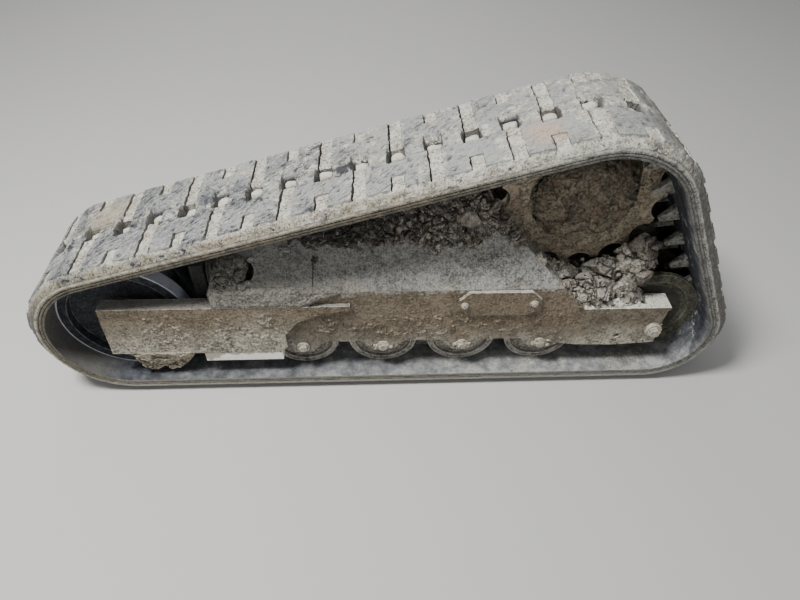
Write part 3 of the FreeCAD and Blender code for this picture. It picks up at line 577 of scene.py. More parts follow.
def wrapped(tree, guide, share, depth, across):
    """Position on the belt at a share of the loop, a depth off the cords and a place across, and its outward way."""
    line = put("GeometryNodeObjectInfo", {"Object": guide}).outputs["Geometry"]
    sample = put("GeometryNodeSampleCurve", {"Curves": line, "Factor": share}, mode="FACTOR")
    out = put("ShaderNodeVectorMath", {0: sample.outputs["Tangent"], 1: (0.0, 1.0, 0.0)}, operation="CROSS_PRODUCT")
    outward = put("ShaderNodeVectorMath", {0: out.outputs[0]}, operation="NORMALIZE").outputs[0]
    rise = put("ShaderNodeVectorMath", {0: outward, "Scale": depth}, operation="SCALE").outputs[0]
    side = put("ShaderNodeCombineXYZ", {"Y": across}, tree).outputs[0]
    lifted = put("ShaderNodeVectorMath", {0: sample.outputs["Position"], 1: rise}, operation="ADD").outputs[0]
    return put("ShaderNodeVectorMath", {0: lifted, 1: side}, operation="ADD").outputs[0], outward, sample.outputs["Tangent"]


belt_tree, belt_in, belt_end = node_tree_of("wrap_belt", [
    ("Cord line", "Object"), ("Tiles", "Int"), ("Tile length", "Float"), ("Finish", "Material")])
tile_step = put("ShaderNodeCombineXYZ", {"X": belt_in["Tile length"]}).outputs[0]
tile_line = put("GeometryNodeMeshLine", {"Count": belt_in["Tiles"], "Offset": tile_step}, mode="OFFSET")
tiles = put("GeometryNodeInstanceOnPoints", {"Points": tile_line.outputs[0], "Instance": belt_in["Geometry"]})
laid = put("GeometryNodeRealizeInstances", {"Geometry": tiles.outputs[0]}).outputs[0]
laid = put("GeometryNodeMergeByDistance", {"Geometry": laid, "Distance": 0.00002}).outputs[0]
flat_place = put("ShaderNodeSeparateXYZ", {"Vector": put("GeometryNodeInputPosition", tree=belt_tree).outputs[0]})
for label, value in (("along", flat_place.outputs["X"]), ("across", flat_place.outputs["Y"]), ("depth", flat_place.outputs["Z"])):
    laid = stored(laid, label, value)
flat_share = maths("DIVIDE", flat_place.outputs["X"], times(belt_in["Tile length"], belt_in["Tiles"]))
belt_place, _, _ = wrapped(belt_tree, belt_in["Cord line"], flat_share, flat_place.outputs["Z"], flat_place.outputs["Y"])
laid = put("GeometryNodeSetPosition", {"Geometry": laid, "Position": belt_place}).outputs[0]
laid = put("GeometryNodeMergeByDistance", {"Geometry": laid, "Distance": 0.00005}).outputs[0]
laid = put("GeometryNodeSetMaterial", {"Geometry": laid, "Material": belt_in["Finish"]}).outputs[0]
link(laid, belt_end)

rubber, rubber_shader, rubber_place = finish_of("worn_track_rubber", rough=0.82)
rubber_tree = rubber.node_tree
belt = grown("rubber_belt", belt_tile(), belt_tree, {
    "Cord line": cord_guide, "Tiles": LINKS // 2, "Tile length": 2.0 * LINK * MM, "Finish": rubber})


def values_of(mesh, name):
    """A point attribute as an array."""
    held = np.empty(len(mesh.vertices))
    mesh.attributes[name].data.foreach_get("value", held)
    return held


def places_of(mesh):
    """A mesh's vertices as an array."""
    held = np.empty(len(mesh.vertices) * 3)
    mesh.vertices.foreach_get("co", held)
    return held.reshape(-1, 3)


def waver(x, y, z):
    """Smooth noise at one place."""
    return noise.noise(Vector((x, y, z)))


def uneven(points, size, seed=0.0):
    """Smooth unevenness between about -1 and 1 at each point, its bumps of this size in metres."""
    shift = Vector((seed, seed * 0.37, -seed))
    return np.array([noise.noise(Vector(p) / size + shift) for p in points]) * 2.0


belt_mesh = belt.data
spots = places_of(belt_mesh)
along = values_of(belt_mesh, "along") / MM
across = values_of(belt_mesh, "across") / MM
depth = values_of(belt_mesh, "depth") / MM
tread = values_of(belt_mesh, "tread")
mud = values_of(belt_mesh, "mud")
ways = np.array([on_belt(BELT_START + s)[2:] for s in along])
wave = uneven(spots, 0.045, 3.0)
crumbs = uneven(spots, 0.009, 11.0)
lift = tread * (wave * 0.9 + crumbs * (0.4 + 1.3 * mud))
on_lug = (tread > 0.5) & (depth + CORD > MUD_LEVEL + 1.5) & (mud < 0.45)
# torn most on the front half of the top run, where the rubber is chewed
chewed = on_lug * (0.55 + 0.45 * rising(0.1, -0.5, spots[:, 0]))
near_windows = rising(62.0, 30.0, np.abs(across))
chips = uneven(spots, 0.012, 27.0) + 0.3 * uneven(spots, 0.006, 5.0) - 0.95
chips = np.clip(chips + 0.6 * near_windows * rising(0.3, -0.3, spots[:, 0]), 0.0, 0.5) * chewed
lift -= chips * 14.0
torn = np.clip(chips * 6.0, 0.0, 0.85)
# the lugs' edges are worn crooked: the pattern wanders along and across the belt
loose = tread * (np.abs(across) < 135.0)
wander, sideways = uneven(spots, 0.012, 61.0) * 1.6 * loose, uneven(spots, 0.012, 83.0) * 1.3 * loose
belt_mesh.vertices.foreach_set("co", (spots + np.stack([
    ways[:, 0] * lift + ways[:, 1] * wander, sideways, ways[:, 1] * lift - ways[:, 0] * wander], axis=1) * MM).reshape(-1))
hold(belt_mesh, "torn", torn)
smoothed(belt_mesh, 34.0)

RUBBER_BLUE = (0.10, 0.106, 0.114)
RUBBER_DUSTY = (0.325, 0.325, 0.305)
RUBBER_BLACK = (0.012, 0.014, 0.019)
MUD_CREAM = (0.62, 0.60, 0.52)
MUD_TAN = (0.42, 0.36, 0.25)


def attribute(tree, name):
    """A point attribute's value in a shader."""
    return put("ShaderNodeAttribute", tree=tree, attribute_name=name, attribute_type="GEOMETRY").outputs["Fac"]


def line_at(value, middle, half):
    """1 where a value is at its middle, 0 from half away."""
    off = maths("ABSOLUTE", maths("SUBTRACT", value, middle), 0.0)
    return ramp(off, half, half * 0.4)


rubber_x, _, rubber_z = axes(rubber_place)
rubber_cloud = cloud(rubber_place, 30.0, 8.0, 0.75)
rubber_broad = cloud(rubber_place, 9.0, 4.0)
is_tread = attribute(rubber_tree, "tread")
is_deep = attribute(rubber_tree, "depth")
is_along, is_across = attribute(rubber_tree, "along"), attribute(rubber_tree, "across")
off_middle = maths("ABSOLUTE", is_across, 0.0)

# lug tops: chewed blue-black rubber in front, dusty grey to the rear, with short slanting cuts and pale scuffs
rubber_tops = group_in(crust_group, Place=rubber_place, Pale=RUBBER_DUSTY, Grains=280.0,
                       Dark=blend(ramp(rubber_x, -0.35, 0.2), RUBBER_BLUE, (0.19, 0.19, 0.18)),
                       Lean=plus(ramp(rubber_broad, 0.35, 0.6, -0.34, 0.12), ramp(rubber_x, -0.7, 0.15, 0.6, 0.92)))
slant = [times(maths(kind, is_along, times(is_across, 1.3)), scale)
         for kind, scale in (("ADD", 24.0), ("SUBTRACT", 88.0))]
slant_place = put("ShaderNodeCombineXYZ", {"X": slant[0], "Y": slant[1]}).outputs[0]
cut_noise = cloud(slant_place, 1.0, 3.0, 0.6, 0.9)
cut_level = plus(cut_noise, ramp(rubber_broad, 0.38, 0.6, -0.035, 0.05))
cuts = times(ramp(cut_level, 0.415, 0.385), ramp(rubber_x, -0.2, 0.35, 1.0, 0.25))
scuffs = ramp(cut_level, 0.60, 0.67, 0.0, ramp(rubber_x, -0.2, 0.35, 0.55, 0.2))

# sides: tan-brown in front and grey at the rear, paler low down, with a painted highlight in pale mud colour along the
# upper edge, and painted shade darkening the lower edge and black in the grooves along them
rubber_edge = group_in(crust_group, Place=rubber_place, Grains=260.0, Lean=0.55, Dark=(0.07, 0.06, 0.045),
                       Pale=blend(ramp(rubber_x, 0.1, 0.5), (0.30, 0.26, 0.18), (0.34, 0.34, 0.31)))
side_broken = ramp(rubber_cloud, 0.42, 0.56, 0.15, 1.0)
side_color = blend(times(line_at(is_deep, 0.004, 0.0035), times(side_broken, 0.6)), rubber_edge["Color"], MUD_CREAM)
side_color = blend(ramp(rubber_z, 0.07, 0.03, 0.0, 0.5), side_color, (0.46, 0.45, 0.40))
side_color = blend(ramp(is_deep, -0.002, -0.009, 0.0, 0.5), side_color, (0.05, 0.05, 0.045))
for middle, half in ((-0.0038, 0.0022), (-0.011, 0.0018)):
    groove = times(line_at(is_deep, middle, half), ramp(rubber_x, 0.2, 0.6, 1.0, 0.45))
    side_color = blend(times(groove, side_broken), side_color, RUBBER_BLACK)

# inner surface: smooth blue-black, dusty where it faces up and towards its edges
inner_dust = plus(group_in(dust_group, Place=rubber_place, Amount=0.72, Patches=11.0)["Mask"],
                  times(ramp(off_middle, 0.118, 0.158), ramp(rubber_cloud, 0.3, 0.6, 0.1, 0.5)))
inner_color = blend(ramp(rubber_cloud, 0.4, 0.62), RUBBER_BLACK, (0.06, 0.068, 0.085))
inner_dust = times(inner_dust, ramp(rubber_x, -0.62, 0.3, 0.12, 1.0))
inner_color = blend(inner_dust, inner_color, blend(ramp(rubber_cloud, 0.4, 0.6), (0.20, 0.21, 0.215), (0.46, 0.455, 0.42)))

color = blend(ramp(off_middle, 0.1572, 0.158), inner_color, side_color)
color = blend(is_tread, color, blend(scuffs, rubber_tops["Color"], MUD_CREAM))
# painted shade: the tread black where it lies deep, in cracks, nicks and the walls by the windows
color = blend(times(ramp(is_deep, 0.024, 0.016), is_tread), color, RUBBER_BLACK)
color = blend(times(times(cuts, 0.8), is_tread), color, RUBBER_BLACK)
color = blend(attribute(rubber_tree, "torn"), color, (0.035, 0.04, 0.05))

# stains and tears on the tread: place, reach, share and colour
STAINS = (
    ((0.335, -0.112, 0.727), 0.055, 0.55, (0.50, 0.34, 0.24)),
    ((-0.691, 0.026, 0.426), 0.075, 0.5, (0.42, 0.35, 0.22)),
    ((-0.091, -0.049, 0.602), 0.024, 0.9, (0.02, 0.022, 0.03)),
    ((-0.424, -0.024, 0.504), 0.035, 0.7, (0.075, 0.083, 0.10)),
    ((-0.347, -0.005, 0.527), 0.03, 0.6, (0.075, 0.083, 0.10)),
    ((-0.570, -0.040, 0.462), 0.03, 0.6, (0.075, 0.083, 0.10)),
)
# pale mud in the gaps and on the margin, browner on the margin in front
rubber_mud = group_in(crust_group, Place=rubber_place, Pale=MUD_CREAM, Dark=(0.20, 0.175, 0.13), Grains=260.0, Lean=0.6)
margin_brown = times(ramp(off_middle, 0.139, 0.150), ramp(plus(rubber_cloud, ramp(rubber_x, -0.6, 0.5, 0.06, -0.06)), 0.42, 0.58, 0.15, 1.0))
mud_color = blend(margin_brown, rubber_mud["Color"], rubber_edge["Color"])
mud_share = plus(attribute(rubber_tree, "mud"), ramp(rubber_cloud, 0.36, 0.64, -0.5, 0.5), ramp(rubber_x, -0.7, 0.3, -0.12, 0.1))
mud_share = ramp(mud_share, 0.34, 0.6)
rubber_faces = axes(facing(rubber_tree))
# painted shade on faces turned from the light: tread faces that do not face up, and faces turned to the rear
shade_turned_from_light = maths("MAXIMUM", times(ramp(rubber_faces["Z"], 0.6, 0.1, 0.0, 0.85), is_tread),
                 ramp(rubber_faces["X"], 0.25, 0.6, 0.0, 0.74))
color = blend(mud_share, color, mud_color)
for place, reach, share, stain in STAINS:
    near = put("ShaderNodeVectorMath", {0: rubber_place, 1: place}, operation="DISTANCE").outputs["Value"]
    near = ramp(plus(near, ramp(rubber_cloud, 0.3, 0.7, -0.03, 0.03)), reach, reach * 0.4, 0.0, share)
    color = blend(near, color, stain)
color = blend(shade_turned_from_light, color, (0.12, 0.115, 0.10))
rubber_relief = plus(times(rubber_mud["Height"], 0.8), times(maths("SUBTRACT", scuffs, times(cuts, 1.6)), is_tread))
finished(rubber_shader, color, rubber_relief, 0.0022)
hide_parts("rubber_track")
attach(belt, "undercarriage")


# Guide horns. Steel cores moulded into the belt stand up on its inner side, two to a link,
# and run on both sides of the wheels; they are dusty and worn round.
HORN_SIDE = 38.0
HORN_LEVELS = ((-2.0, 21.0, 11.0), (3.0, 19.0, 10.5), (20.0, 13.0, 8.5), (36.0, 8.5, 6.5), (42.5, 6.5, 5.5), (45.0, 3.5, 3.0))
HORN_SIDES = 12


def horn_pair():
    """Two horns of one link, standing down from the belt's inner surface, in metres."""
    points, faces = [], []
    for side in (-1.0, 1.0):
        first = len(points)
        for high, half_l, half_w in HORN_LEVELS:
            for k in range(HORN_SIDES):
                a = 2.0 * math.pi * (k + 0.5) / HORN_SIDES
                c, d = math.cos(a), math.sin(a)
                square = max(abs(c), abs(d)) ** 0.7
                points.append((half_l * c / square * MM, (side * HORN_SIDE + half_w * d / square) * MM, -high * MM))
        for ring in range(len(HORN_LEVELS) - 1):
            for k in range(HORN_SIDES):
                a, b = first + ring * HORN_SIDES + k, first + ring * HORN_SIDES + (k + 1) % HORN_SIDES
                faces.append((a, a + HORN_SIDES, b + HORN_SIDES, b))
        faces.append(tuple(range(first, first + HORN_SIDES)))
        last = first + (len(HORN_LEVELS) - 1) * HORN_SIDES
        faces.append(tuple(reversed(range(last, last + HORN_SIDES))))
    return mesh_of("horn_pair", points, faces)


horn_tree, horn_in, horn_end = node_tree_of("set_on_belt", [
    ("Cord line", "Object"), ("Count", "Int"), ("Start", "Float"), ("Step", "Float"), ("Depth", "Float"),
    ("Share kept", "Float"), ("Last", "Float"), ("Smallest", "Vector"), ("Largest", "Vector"), ("Seed", "Int"),
    ("Finish", "Material")])
horn_first = put("ShaderNodeCombineXYZ", {"X": horn_in["Start"]}).outputs[0]
horn_step = put("ShaderNodeCombineXYZ", {"X": horn_in["Step"]}).outputs[0]
horn_line = put("GeometryNodeMeshLine", {"Count": horn_in["Count"], "Start Location": horn_first, "Offset": horn_step}, mode="OFFSET").outputs[0]
horn_share = put("ShaderNodeSeparateXYZ", {"Vector": put("GeometryNodeInputPosition", tree=horn_tree).outputs[0]}).outputs["X"]
horn_line = stored(horn_line, "share", horn_share)
held_share = put("GeometryNodeInputNamedAttribute", {"Name": "share"}, horn_tree, data_type="FLOAT").outputs["Attribute"]
horn_place, horn_out, _ = wrapped(horn_tree, horn_in["Cord line"], held_share, horn_in["Depth"], 0.0)
out_parts = put("ShaderNodeSeparateXYZ", {"Vector": horn_out})
horn_lean = maths("ARCTAN2", out_parts.outputs["X"], out_parts.outputs["Z"])
horn_turn = put("ShaderNodeCombineXYZ", {"Y": horn_lean}).outputs[0]
horn_line = stored(horn_line, "turn", horn_turn, "FLOAT_VECTOR")
horn_line = put("GeometryNodeSetPosition", {"Geometry": horn_line, "Position": horn_place}).outputs[0]
held_turn = put("GeometryNodeInputNamedAttribute", {"Name": "turn"}, horn_tree, data_type="FLOAT_VECTOR").outputs["Attribute"]
kept = put("FunctionNodeRandomValue", {"Probability": horn_in["Share kept"], "Seed": horn_in["Seed"]}, data_type="BOOLEAN").outputs[3]
before_last = put("FunctionNodeCompare", {0: held_share, 1: horn_in["Last"]}, data_type="FLOAT", operation="LESS_THAN").outputs[0]
chosen = put("FunctionNodeBooleanMath", {0: kept, 1: before_last}, operation="AND").outputs[0]
horn_size = put("FunctionNodeRandomValue", {"Min": horn_in["Smallest"], "Max": horn_in["Largest"], "Seed": horn_in["Seed"]},
                data_type="FLOAT_VECTOR").outputs[0]
set_on(horn_line, horn_in["Geometry"], horn_in["Finish"], horn_end, Rotation=held_turn, Scale=horn_size, Selection=chosen)

horn_finish = casting_finish("horn_dusty", (0.36, 0.35, 0.30), (0.05, 0.05, 0.048), 0.7, relief=0.001, grains=120.0, lean=0.6)
guide_horns = grown("guide_horns", horn_pair(), horn_tree, {
    "Cord line": cord_guide, "Count": LINKS, "Start": 0.0, "Step": 1.0 / LINKS, "Depth": -CORD * MM, "Share kept": 1.0, "Last": 2.0,
    "Smallest": (1.0, 1.0, 1.0), "Largest": (1.0, 1.0, 1.0), "Seed": 1, "Finish": horn_finish})
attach(guide_horns, "undercarriage")


# Mud packed into the windows of the belt. Pale dried plugs cling to the far wall of each
# window along the top run and leave a dark slot beside the near lug.
PLUG = (17.5, 14.0, 15.0)
PLUG_Y = 9.5


def rounded_block(name, half, levels=2, square=0.28):
    """A block between a box and a ball, as dense as an icosphere of this many levels."""
    shape = bmesh.new()
    bmesh.ops.create_icosphere(shape, subdivisions=levels, radius=1.0)
    for v in shape.verts:
        most = max(abs(c) for c in v.co)
        v.co = Vector([c / (most * (1.0 - square) + square) * h for c, h in zip(v.co, half)])
    mesh = bpy.data.meshes.new(name)
    shape.to_mesh(mesh)
    shape.free()
    return mesh


def roughen(mesh, size, amount, seed=0.0, flat=False):
    """Moves a mesh's points along their normals by smooth unevenness, in metres."""
    spots = places_of(mesh)
    normals = np.array([v.normal for v in mesh.vertices])
    mesh.vertices.foreach_set("co", (spots + normals * (uneven(spots, size, seed) * amount)[:, None]).reshape(-1))
    mesh.polygons.foreach_set("use_smooth", [not flat] * len(mesh.polygons))
    mesh.update()


def mud_finish(name, pale, dark, grains, lean, relief, dust=0.5, cracked=False, red=0.0, shade=None):
    """Dried mud: grains of two colours, some of it reddish, pale dust on top, painted shade black in its cracks and
    darkening it along X.
    """
    material, shader, place = finish_of(name, rough=0.95)
    crust = group_in(crust_group, Place=place, Pale=pale, Dark=dark, Grains=grains, Lean=lean)
    iron = cloud(place, 21.0, 4.0)
    color = blend(ramp(iron, 0.54, 0.66, 0.0, red), crust["Color"], (0.25, 0.15, 0.095))
    settled = group_in(dust_group, Place=place, Amount=dust, Patches=30.0)["Mask"]
    color = blend(settled, color, DUST_PALE)
    if shade:
        from_front = axes(place)["X"]
        color = blend(ramp(from_front, shade[1], shade[0], 0.0, 0.85), color, (0.025, 0.023, 0.02))
    # painted shade: the cracks near black
    if cracked:
        color = blend(attribute(material.node_tree, "deep"), color, (0.012, 0.010, 0.008))
    finished(shader, color, crust["Height"], relief)
    return material


plug_mesh = rounded_block("window_plug", [h * MM for h in PLUG], levels=3)
plug_mesh.transform(Matrix.Translation((0.0, PLUG_Y * MM, 0.0)))
plug_finish = mud_finish("cream_plug", MUD_CREAM, MUD_TAN, 240.0, 0.8, 0.002)
window_mud = grown("window_mud", plug_mesh, horn_tree, {
    "Cord line": cord_guide, "Count": LINKS, "Start": 0.5 / LINKS, "Step": 1.0 / LINKS, "Depth": 0.0, "Share kept": 1.0, "Last": 0.36,
    "Smallest": (0.97, 0.6, 0.75), "Largest": (0.99, 1.05, 1.35), "Seed": 4, "Finish": plug_finish})
roughen(window_mud.data, 0.011, 0.0016, 5.0)
# beyond the sprocket the windows are packed full
packed_mesh = rounded_block("packed_window", (18.7 * MM, 21.6 * MM, 13.0 * MM), levels=3, square=0.1)
packed_mesh.transform(Matrix.Translation((0.0, 0.0, 3.0 * MM)))
packed_finish = mud_finish("packed_mud", (0.20, 0.175, 0.13), (0.05, 0.04, 0.03), 220.0, 0.5, 0.002, dust=0.3)
packed_mud = grown("packed_mud", packed_mesh, horn_tree, {
    "Cord line": cord_guide, "Count": LINKS - 18, "Start": 18.5 / LINKS, "Step": 1.0 / LINKS, "Depth": 0.0, "Share kept": 1.0, "Last": 2.0,
    "Smallest": (0.98, 0.98, 0.7), "Largest": (1.0, 1.0, 1.1), "Seed": 11, "Finish": packed_finish})
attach(packed_mud, "undercarriage")
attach(window_mud, "undercarriage")


# Dried mud banked on the frame. It fell from the belt, cracked into angular blocks as it dried,
# and lies on the deck under the top run, under the sprocket on the rear beam and below the guard.
def carried(piece, coat):
    """Gives a piece its finish and slot, and lets it ride the frame."""
    piece.data.materials.append(coat)
    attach(piece, "undercarriage")


def blocks_in(points, cell, seed):
    """Random blocks of about this size: at each point the way to its block's border, and the block's level and lean."""
    draw = np.random.default_rng(seed)
    low, high = points.min(axis=0) - cell, points.max(axis=0) + cell
    steps = [np.arange(low[k], high[k] + cell, cell) for k in range(3)]
    cores = np.stack(np.meshgrid(*steps, indexing="ij"), axis=3).reshape(-1, 3)
    cores += draw.uniform(-0.45, 0.45, cores.shape) * cell
    tree = kdtree.KDTree(len(cores))
    for i, core in enumerate(cores):
        tree.insert(core, i)
    tree.balance()
    near = [tree.find_n(point, 2) for point in points]
    first, second = [np.array([found[k][1] for found in near]) for k in range(2)]
    to_first, to_second = [np.array([found[k][2] for found in near]) for k in range(2)]
    apart = np.linalg.norm(cores[first] - cores[second], axis=1)
    level = draw.uniform(-1.0, 1.0, len(cores))[first]
    lean = (draw.normal(0.0, 1.0, cores.shape)[first] * (points - cores[first])).sum(axis=1) / cell
    return (to_second ** 2 - to_first ** 2) / (2.0 * apart), level, lean


def crusted(name, base, outward, thick, layers, seed, back=4.0 * MM, fine=0.7 * MM, calm=1.0, split=0.0):
    """A closed crust of cracked blocks on a grid of places, in metres.

    Each layer: block size, crack width, step between blocks, lean of a block, crack depth.
    calm lowers the blocks where it is under 1, split opens a long crack where it is over 0."""
    rows, columns, _ = base.shape
    flat = base.reshape(-1, 3)
    bent = flat + np.stack([uneven(flat, 0.02, seed + k) for k in (1.0, 5.0, 9.0)], axis=1) * 0.0035
    body = thick.reshape(-1)
    strength = np.clip(body / 0.008, 0.0, 1.0) * np.broadcast_to(calm, thick.shape).reshape(-1)
    parted = np.broadcast_to(split, thick.shape).reshape(-1) * 1.0
    height = body - parted * 0.008
    for k, (cell, crack, step, lean, drop) in enumerate(layers):
        border, level, tilt = blocks_in(bent, cell, seed + k)
        width = crack * np.clip(1.0 + uneven(flat, cell * 1.5, seed + 20.0 + k) * 1.3, 0.1, 2.4)
        gap = np.clip(1.0 - border / width, 0.0, 1.0)
        height = height + strength * (level * step + tilt * lean - gap ** 0.7 * drop)
        parted = np.maximum(parted, gap * strength * min(1.0, drop / 0.006))
    height += uneven(flat, 0.005, seed + 2.0) * fine * strength
    front = flat + outward.reshape(-1, 3) * height[:, None]
    rear = flat - outward.reshape(-1, 3) * back
    count = len(flat)
    faces = []
    for i in range(rows - 1):
        for j in range(columns - 1):
            a, b, c, d = i * columns + j, (i + 1) * columns + j, (i + 1) * columns + j + 1, i * columns + j + 1
            faces += [(a, b, c, d), (d + count, c + count, b + count, a + count)]
    rim = [i * columns for i in range(rows)] + [(rows - 1) * columns + j for j in range(1, columns)]
    rim += [i * columns + columns - 1 for i in range(rows - 2, -1, -1)] + list(range(columns - 2, 0, -1))
    for a, b in zip(rim, rim[1:] + rim[:1]):
        faces.append((b, a, a + count, b + count))
    mesh = mesh_of(name, np.concatenate([front, rear]), faces)
    hold(mesh, "deep", np.concatenate([parted, np.zeros(count)]))
    smoothed(mesh, 28.0)
    return solid_of(name, mesh)


def rocks(name, rows, levels, coat):
    """Angular lumps as one mesh that rides the frame: each row holds a place, half sizes along X, Y, Z, a turn about Y and a seed."""
    ball = bmesh.new()
    bmesh.ops.create_icosphere(ball, subdivisions=levels, radius=1.0)
    ways = np.array([v.co for v in ball.verts])
    corners = np.array([[v.index for v in f.verts] for f in ball.faces])
    ball.free()
    points, faces = [], []
    for n, (place, half, turn, seed) in enumerate(rows):
        draw = np.random.default_rng(seed)
        sides = draw.normal(size=(11, 3))
        sides /= np.linalg.norm(sides, axis=1, keepdims=True)
        facing = np.maximum(ways @ sides.T, 0.1)
        radius = np.minimum((draw.uniform(0.5, 1.0, 11) / facing).min(axis=1), 1.15)
        shape = ways * radius[:, None] * half
        c, d = math.cos(turn), math.sin(turn)
        shape = np.stack([shape[:, 0] * c - shape[:, 2] * d, shape[:, 1], shape[:, 0] * d + shape[:, 2] * c], axis=1) + place
        rough = uneven(shape, 0.011, seed % 50) * 0.10 + uneven(shape, 0.004, seed % 40) * 0.05
        points.append(shape + ways * (rough * min(half))[:, None])
        faces.append(corners + n * len(ways))
    mesh = mesh_of(name, np.concatenate(points), [tuple(f) for f in np.concatenate(faces).tolist()])
    smoothed(mesh, 22.0)
    carried(solid_of(name, mesh), coat)


BLOCKS = ((0.055, 0.0052, 0.009, 0.011, 0.022), (0.024, 0.0022, 0.0030, 0.0055, 0.0055), (0.011, 0.0012, 0.0006, 0.0014, 0.0012))
CRUMBS = ((0.022, 0.0026, 0.0030, 0.0045, 0.007), (0.010, 0.0018, 0.0018, 0.0026, 0.0035), (0.005, 0.0009, 0.0006, 0.001, 0.001))
deck_clods = mud_finish("deck_clods", (0.47, 0.43, 0.36), (0.09, 0.075, 0.06),
                        210.0, 0.5, 0.0016, dust=0.25, cracked=True, red=0.5, shade=(-0.10, 0.12))
clod_finish = mud_finish("cracked_clods", (0.58, 0.535, 0.44), (0.09, 0.075, 0.058),
                         210.0, 0.5, 0.0020, dust=0.6, cracked=True, red=0.55, shade=(0.68, 0.60))

DECK_UP = np.array([0.0, 0.5, math.sqrt(0.75)])
DECK_OUT = np.array([0.0, -math.sqrt(0.75), 0.5])
DECK_FOOT = np.array([0.0, -0.166, 0.336])
RIDGE_LINE = ((-0.3869, 0.420), (0.2129, 0.549), (0.28, 0.490))
# mud on the deck: x, height of its lower edge, thickness
DECK_MUD = (
    (-0.225, 0.450, 0.004), (-0.19, 0.432, 0.006), (-0.11, 0.433, 0.006), (-0.02, 0.429, 0.008), (0.05, 0.443, 0.012),
    (0.10, 0.426, 0.017), (0.12, 0.413, 0.017), (0.145, 0.427, 0.013), (0.18, 0.425, 0.010), (0.22, 0.416, 0.009),
    (0.235, 0.432, 0.008), (0.268, 0.458, 0.006),
)
SPLITS = (((0.212, 0.535), (0.256, 0.440)), ((0.240, 0.512), (0.272, 0.450)), ((0.196, 0.530), (0.240, 0.475)))


def deck_place(x, z, off=0.0):
    """A point of the deck's plane, or a little off it."""
    return DECK_FOOT + DECK_UP * (z - DECK_FOOT[2]) / DECK_UP[2] + np.array([x, 0.0, 0.0]) + DECK_OUT * off


deck_x = np.linspace(-0.235, 0.278, 290)
climb = np.linspace(0.0, 1.0, 74)
deck_places = np.zeros((len(deck_x), len(climb), 3))
deck_thick, deck_calm, deck_split = [np.zeros(deck_places.shape[:2]) for _ in range(3)]
for i, x in enumerate(deck_x):
    ridge, lower, most = np.interp(x, *zip(*RIDGE_LINE)), *[np.interp(x, [r[0] for r in DECK_MUD], [r[k] for r in DECK_MUD]) for k in (1, 2)]
    for j, share in enumerate(climb):
        z = lower - 0.012 + (ridge - 0.002 - lower + 0.012) * share
        deck_places[i, j] = deck_place(x, z)
        ragged = waver(x * 45.0, z * 45.0, 0.0) + 0.6 * waver(x * 130.0, z * 130.0, 3.0)
        rise = min(max((z - lower + 0.010 * ragged) / 0.012, -0.5), 1.0)
        ends = min((x + 0.235) / 0.03, (0.280 - x) / 0.012, 1.0)
        deck_thick[i, j] = most * rise * max(ends, -0.2) * (0.85 + 0.5 * waver(x * 28.0, z * 28.0, 7.0)) + 0.0004
        smooth_patch = math.hypot((x - 0.206) / 0.030, (z - 0.487) / 0.019)
        deck_calm[i, j] = min(max((smooth_patch - 0.75) * 3.0, 0.12), 1.0)
        for (xa, za), (xb, zb) in SPLITS:
            t = min(max(((x - xa) * (xb - xa) + (z - za) * (zb - za)) / ((xb - xa) ** 2 + (zb - za) ** 2), 0.0), 1.0)
            wander = 0.004 * waver(t * 9.0, xa * 60.0, 1.0)
            off = math.hypot(x - xa - (xb - xa) * t + wander, z - za - (zb - za) * t)
            deck_split[i, j] = max(deck_split[i, j], share_of(1.4 - off / 0.0022) * min(1.0, 4.0 * (1.0 - t)))
deck_mud = crusted("deck_mud", deck_places, np.broadcast_to(DECK_OUT, deck_places.shape), deck_thick, CRUMBS, 21,
                   calm=deck_calm, split=deck_split)
carried(deck_mud, deck_clods)
draw = np.random.default_rng(14)
deck_lumps = []
while len(deck_lumps) < 90:
    i, j = draw.integers(0, len(deck_x)), draw.integers(0, len(climb))
    if deck_thick[i, j] > 0.004 and deck_calm[i, j] > 0.9 and draw.random() < deck_thick[i, j] / 0.014:
        size = draw.uniform(0.003, 0.009)
        place = deck_places[i, j] + DECK_OUT * (deck_thick[i, j] + size * 0.15)
        deck_lumps.append((place, size * draw.uniform(0.7, 1.3, 3), 0.0, 100 + len(deck_lumps)))
rocks("deck_lumps", deck_lumps, 2, deck_clods)

# the same mud laps over the deck's rear edge onto the end of the box
EDGE_TOP, EDGE_LOW = np.array([0.2129, 0.0, 0.549]), np.array([0.345, 0.0, 0.4262])
END_OUT = np.array([0.681, 0.0, 0.732])
edge_u = np.linspace(0.0, 1.0, 120)
edge_w = np.linspace(-1.0, 1.0, 60)
edge_places, edge_out = np.zeros((120, 60, 3)), np.zeros((120, 60, 3))
edge_thick = np.zeros((120, 60))
for i, u in enumerate(edge_u):
    on_edge = EDGE_TOP + (EDGE_LOW - EDGE_TOP) * u
    on_edge[1] = -0.166 + (on_edge[2] - 0.336) / math.sqrt(3.0)
    inward = np.cross(DECK_OUT, END_OUT)
    inward = np.cross(inward / np.linalg.norm(inward), DECK_OUT)
    reach = 0.030 if on_edge[2] > 0.49 else max(min(0.030, -0.070 - on_edge[1]), 0.004)
    for j, w in enumerate(edge_w):
        if w < 0.0:
            edge_places[i, j] = on_edge + inward * w * 0.030
        else:
            edge_places[i, j] = on_edge + np.array([0.0, reach * w, 0.0])
        turn = share_of(w * 2.5 + 0.5)
        way = DECK_OUT * (1.0 - turn) + END_OUT * turn
        edge_out[i, j] = way / np.linalg.norm(way)
        ragged = 0.35 * waver(u * 14.0, w * 3.0, 5.0)
        body = min(1.0, (1.0 - abs(w)) * 2.2 + 0.1) * min(1.0, (1.0 - u + ragged) * 2.0)
        edge_thick[i, j] = max(0.019 * body, -0.002) + 0.0004
edge_mud = crusted("edge_mud", edge_places, edge_out, edge_thick, CRUMBS, 44, back=0.003)
carried(edge_mud, deck_clods)

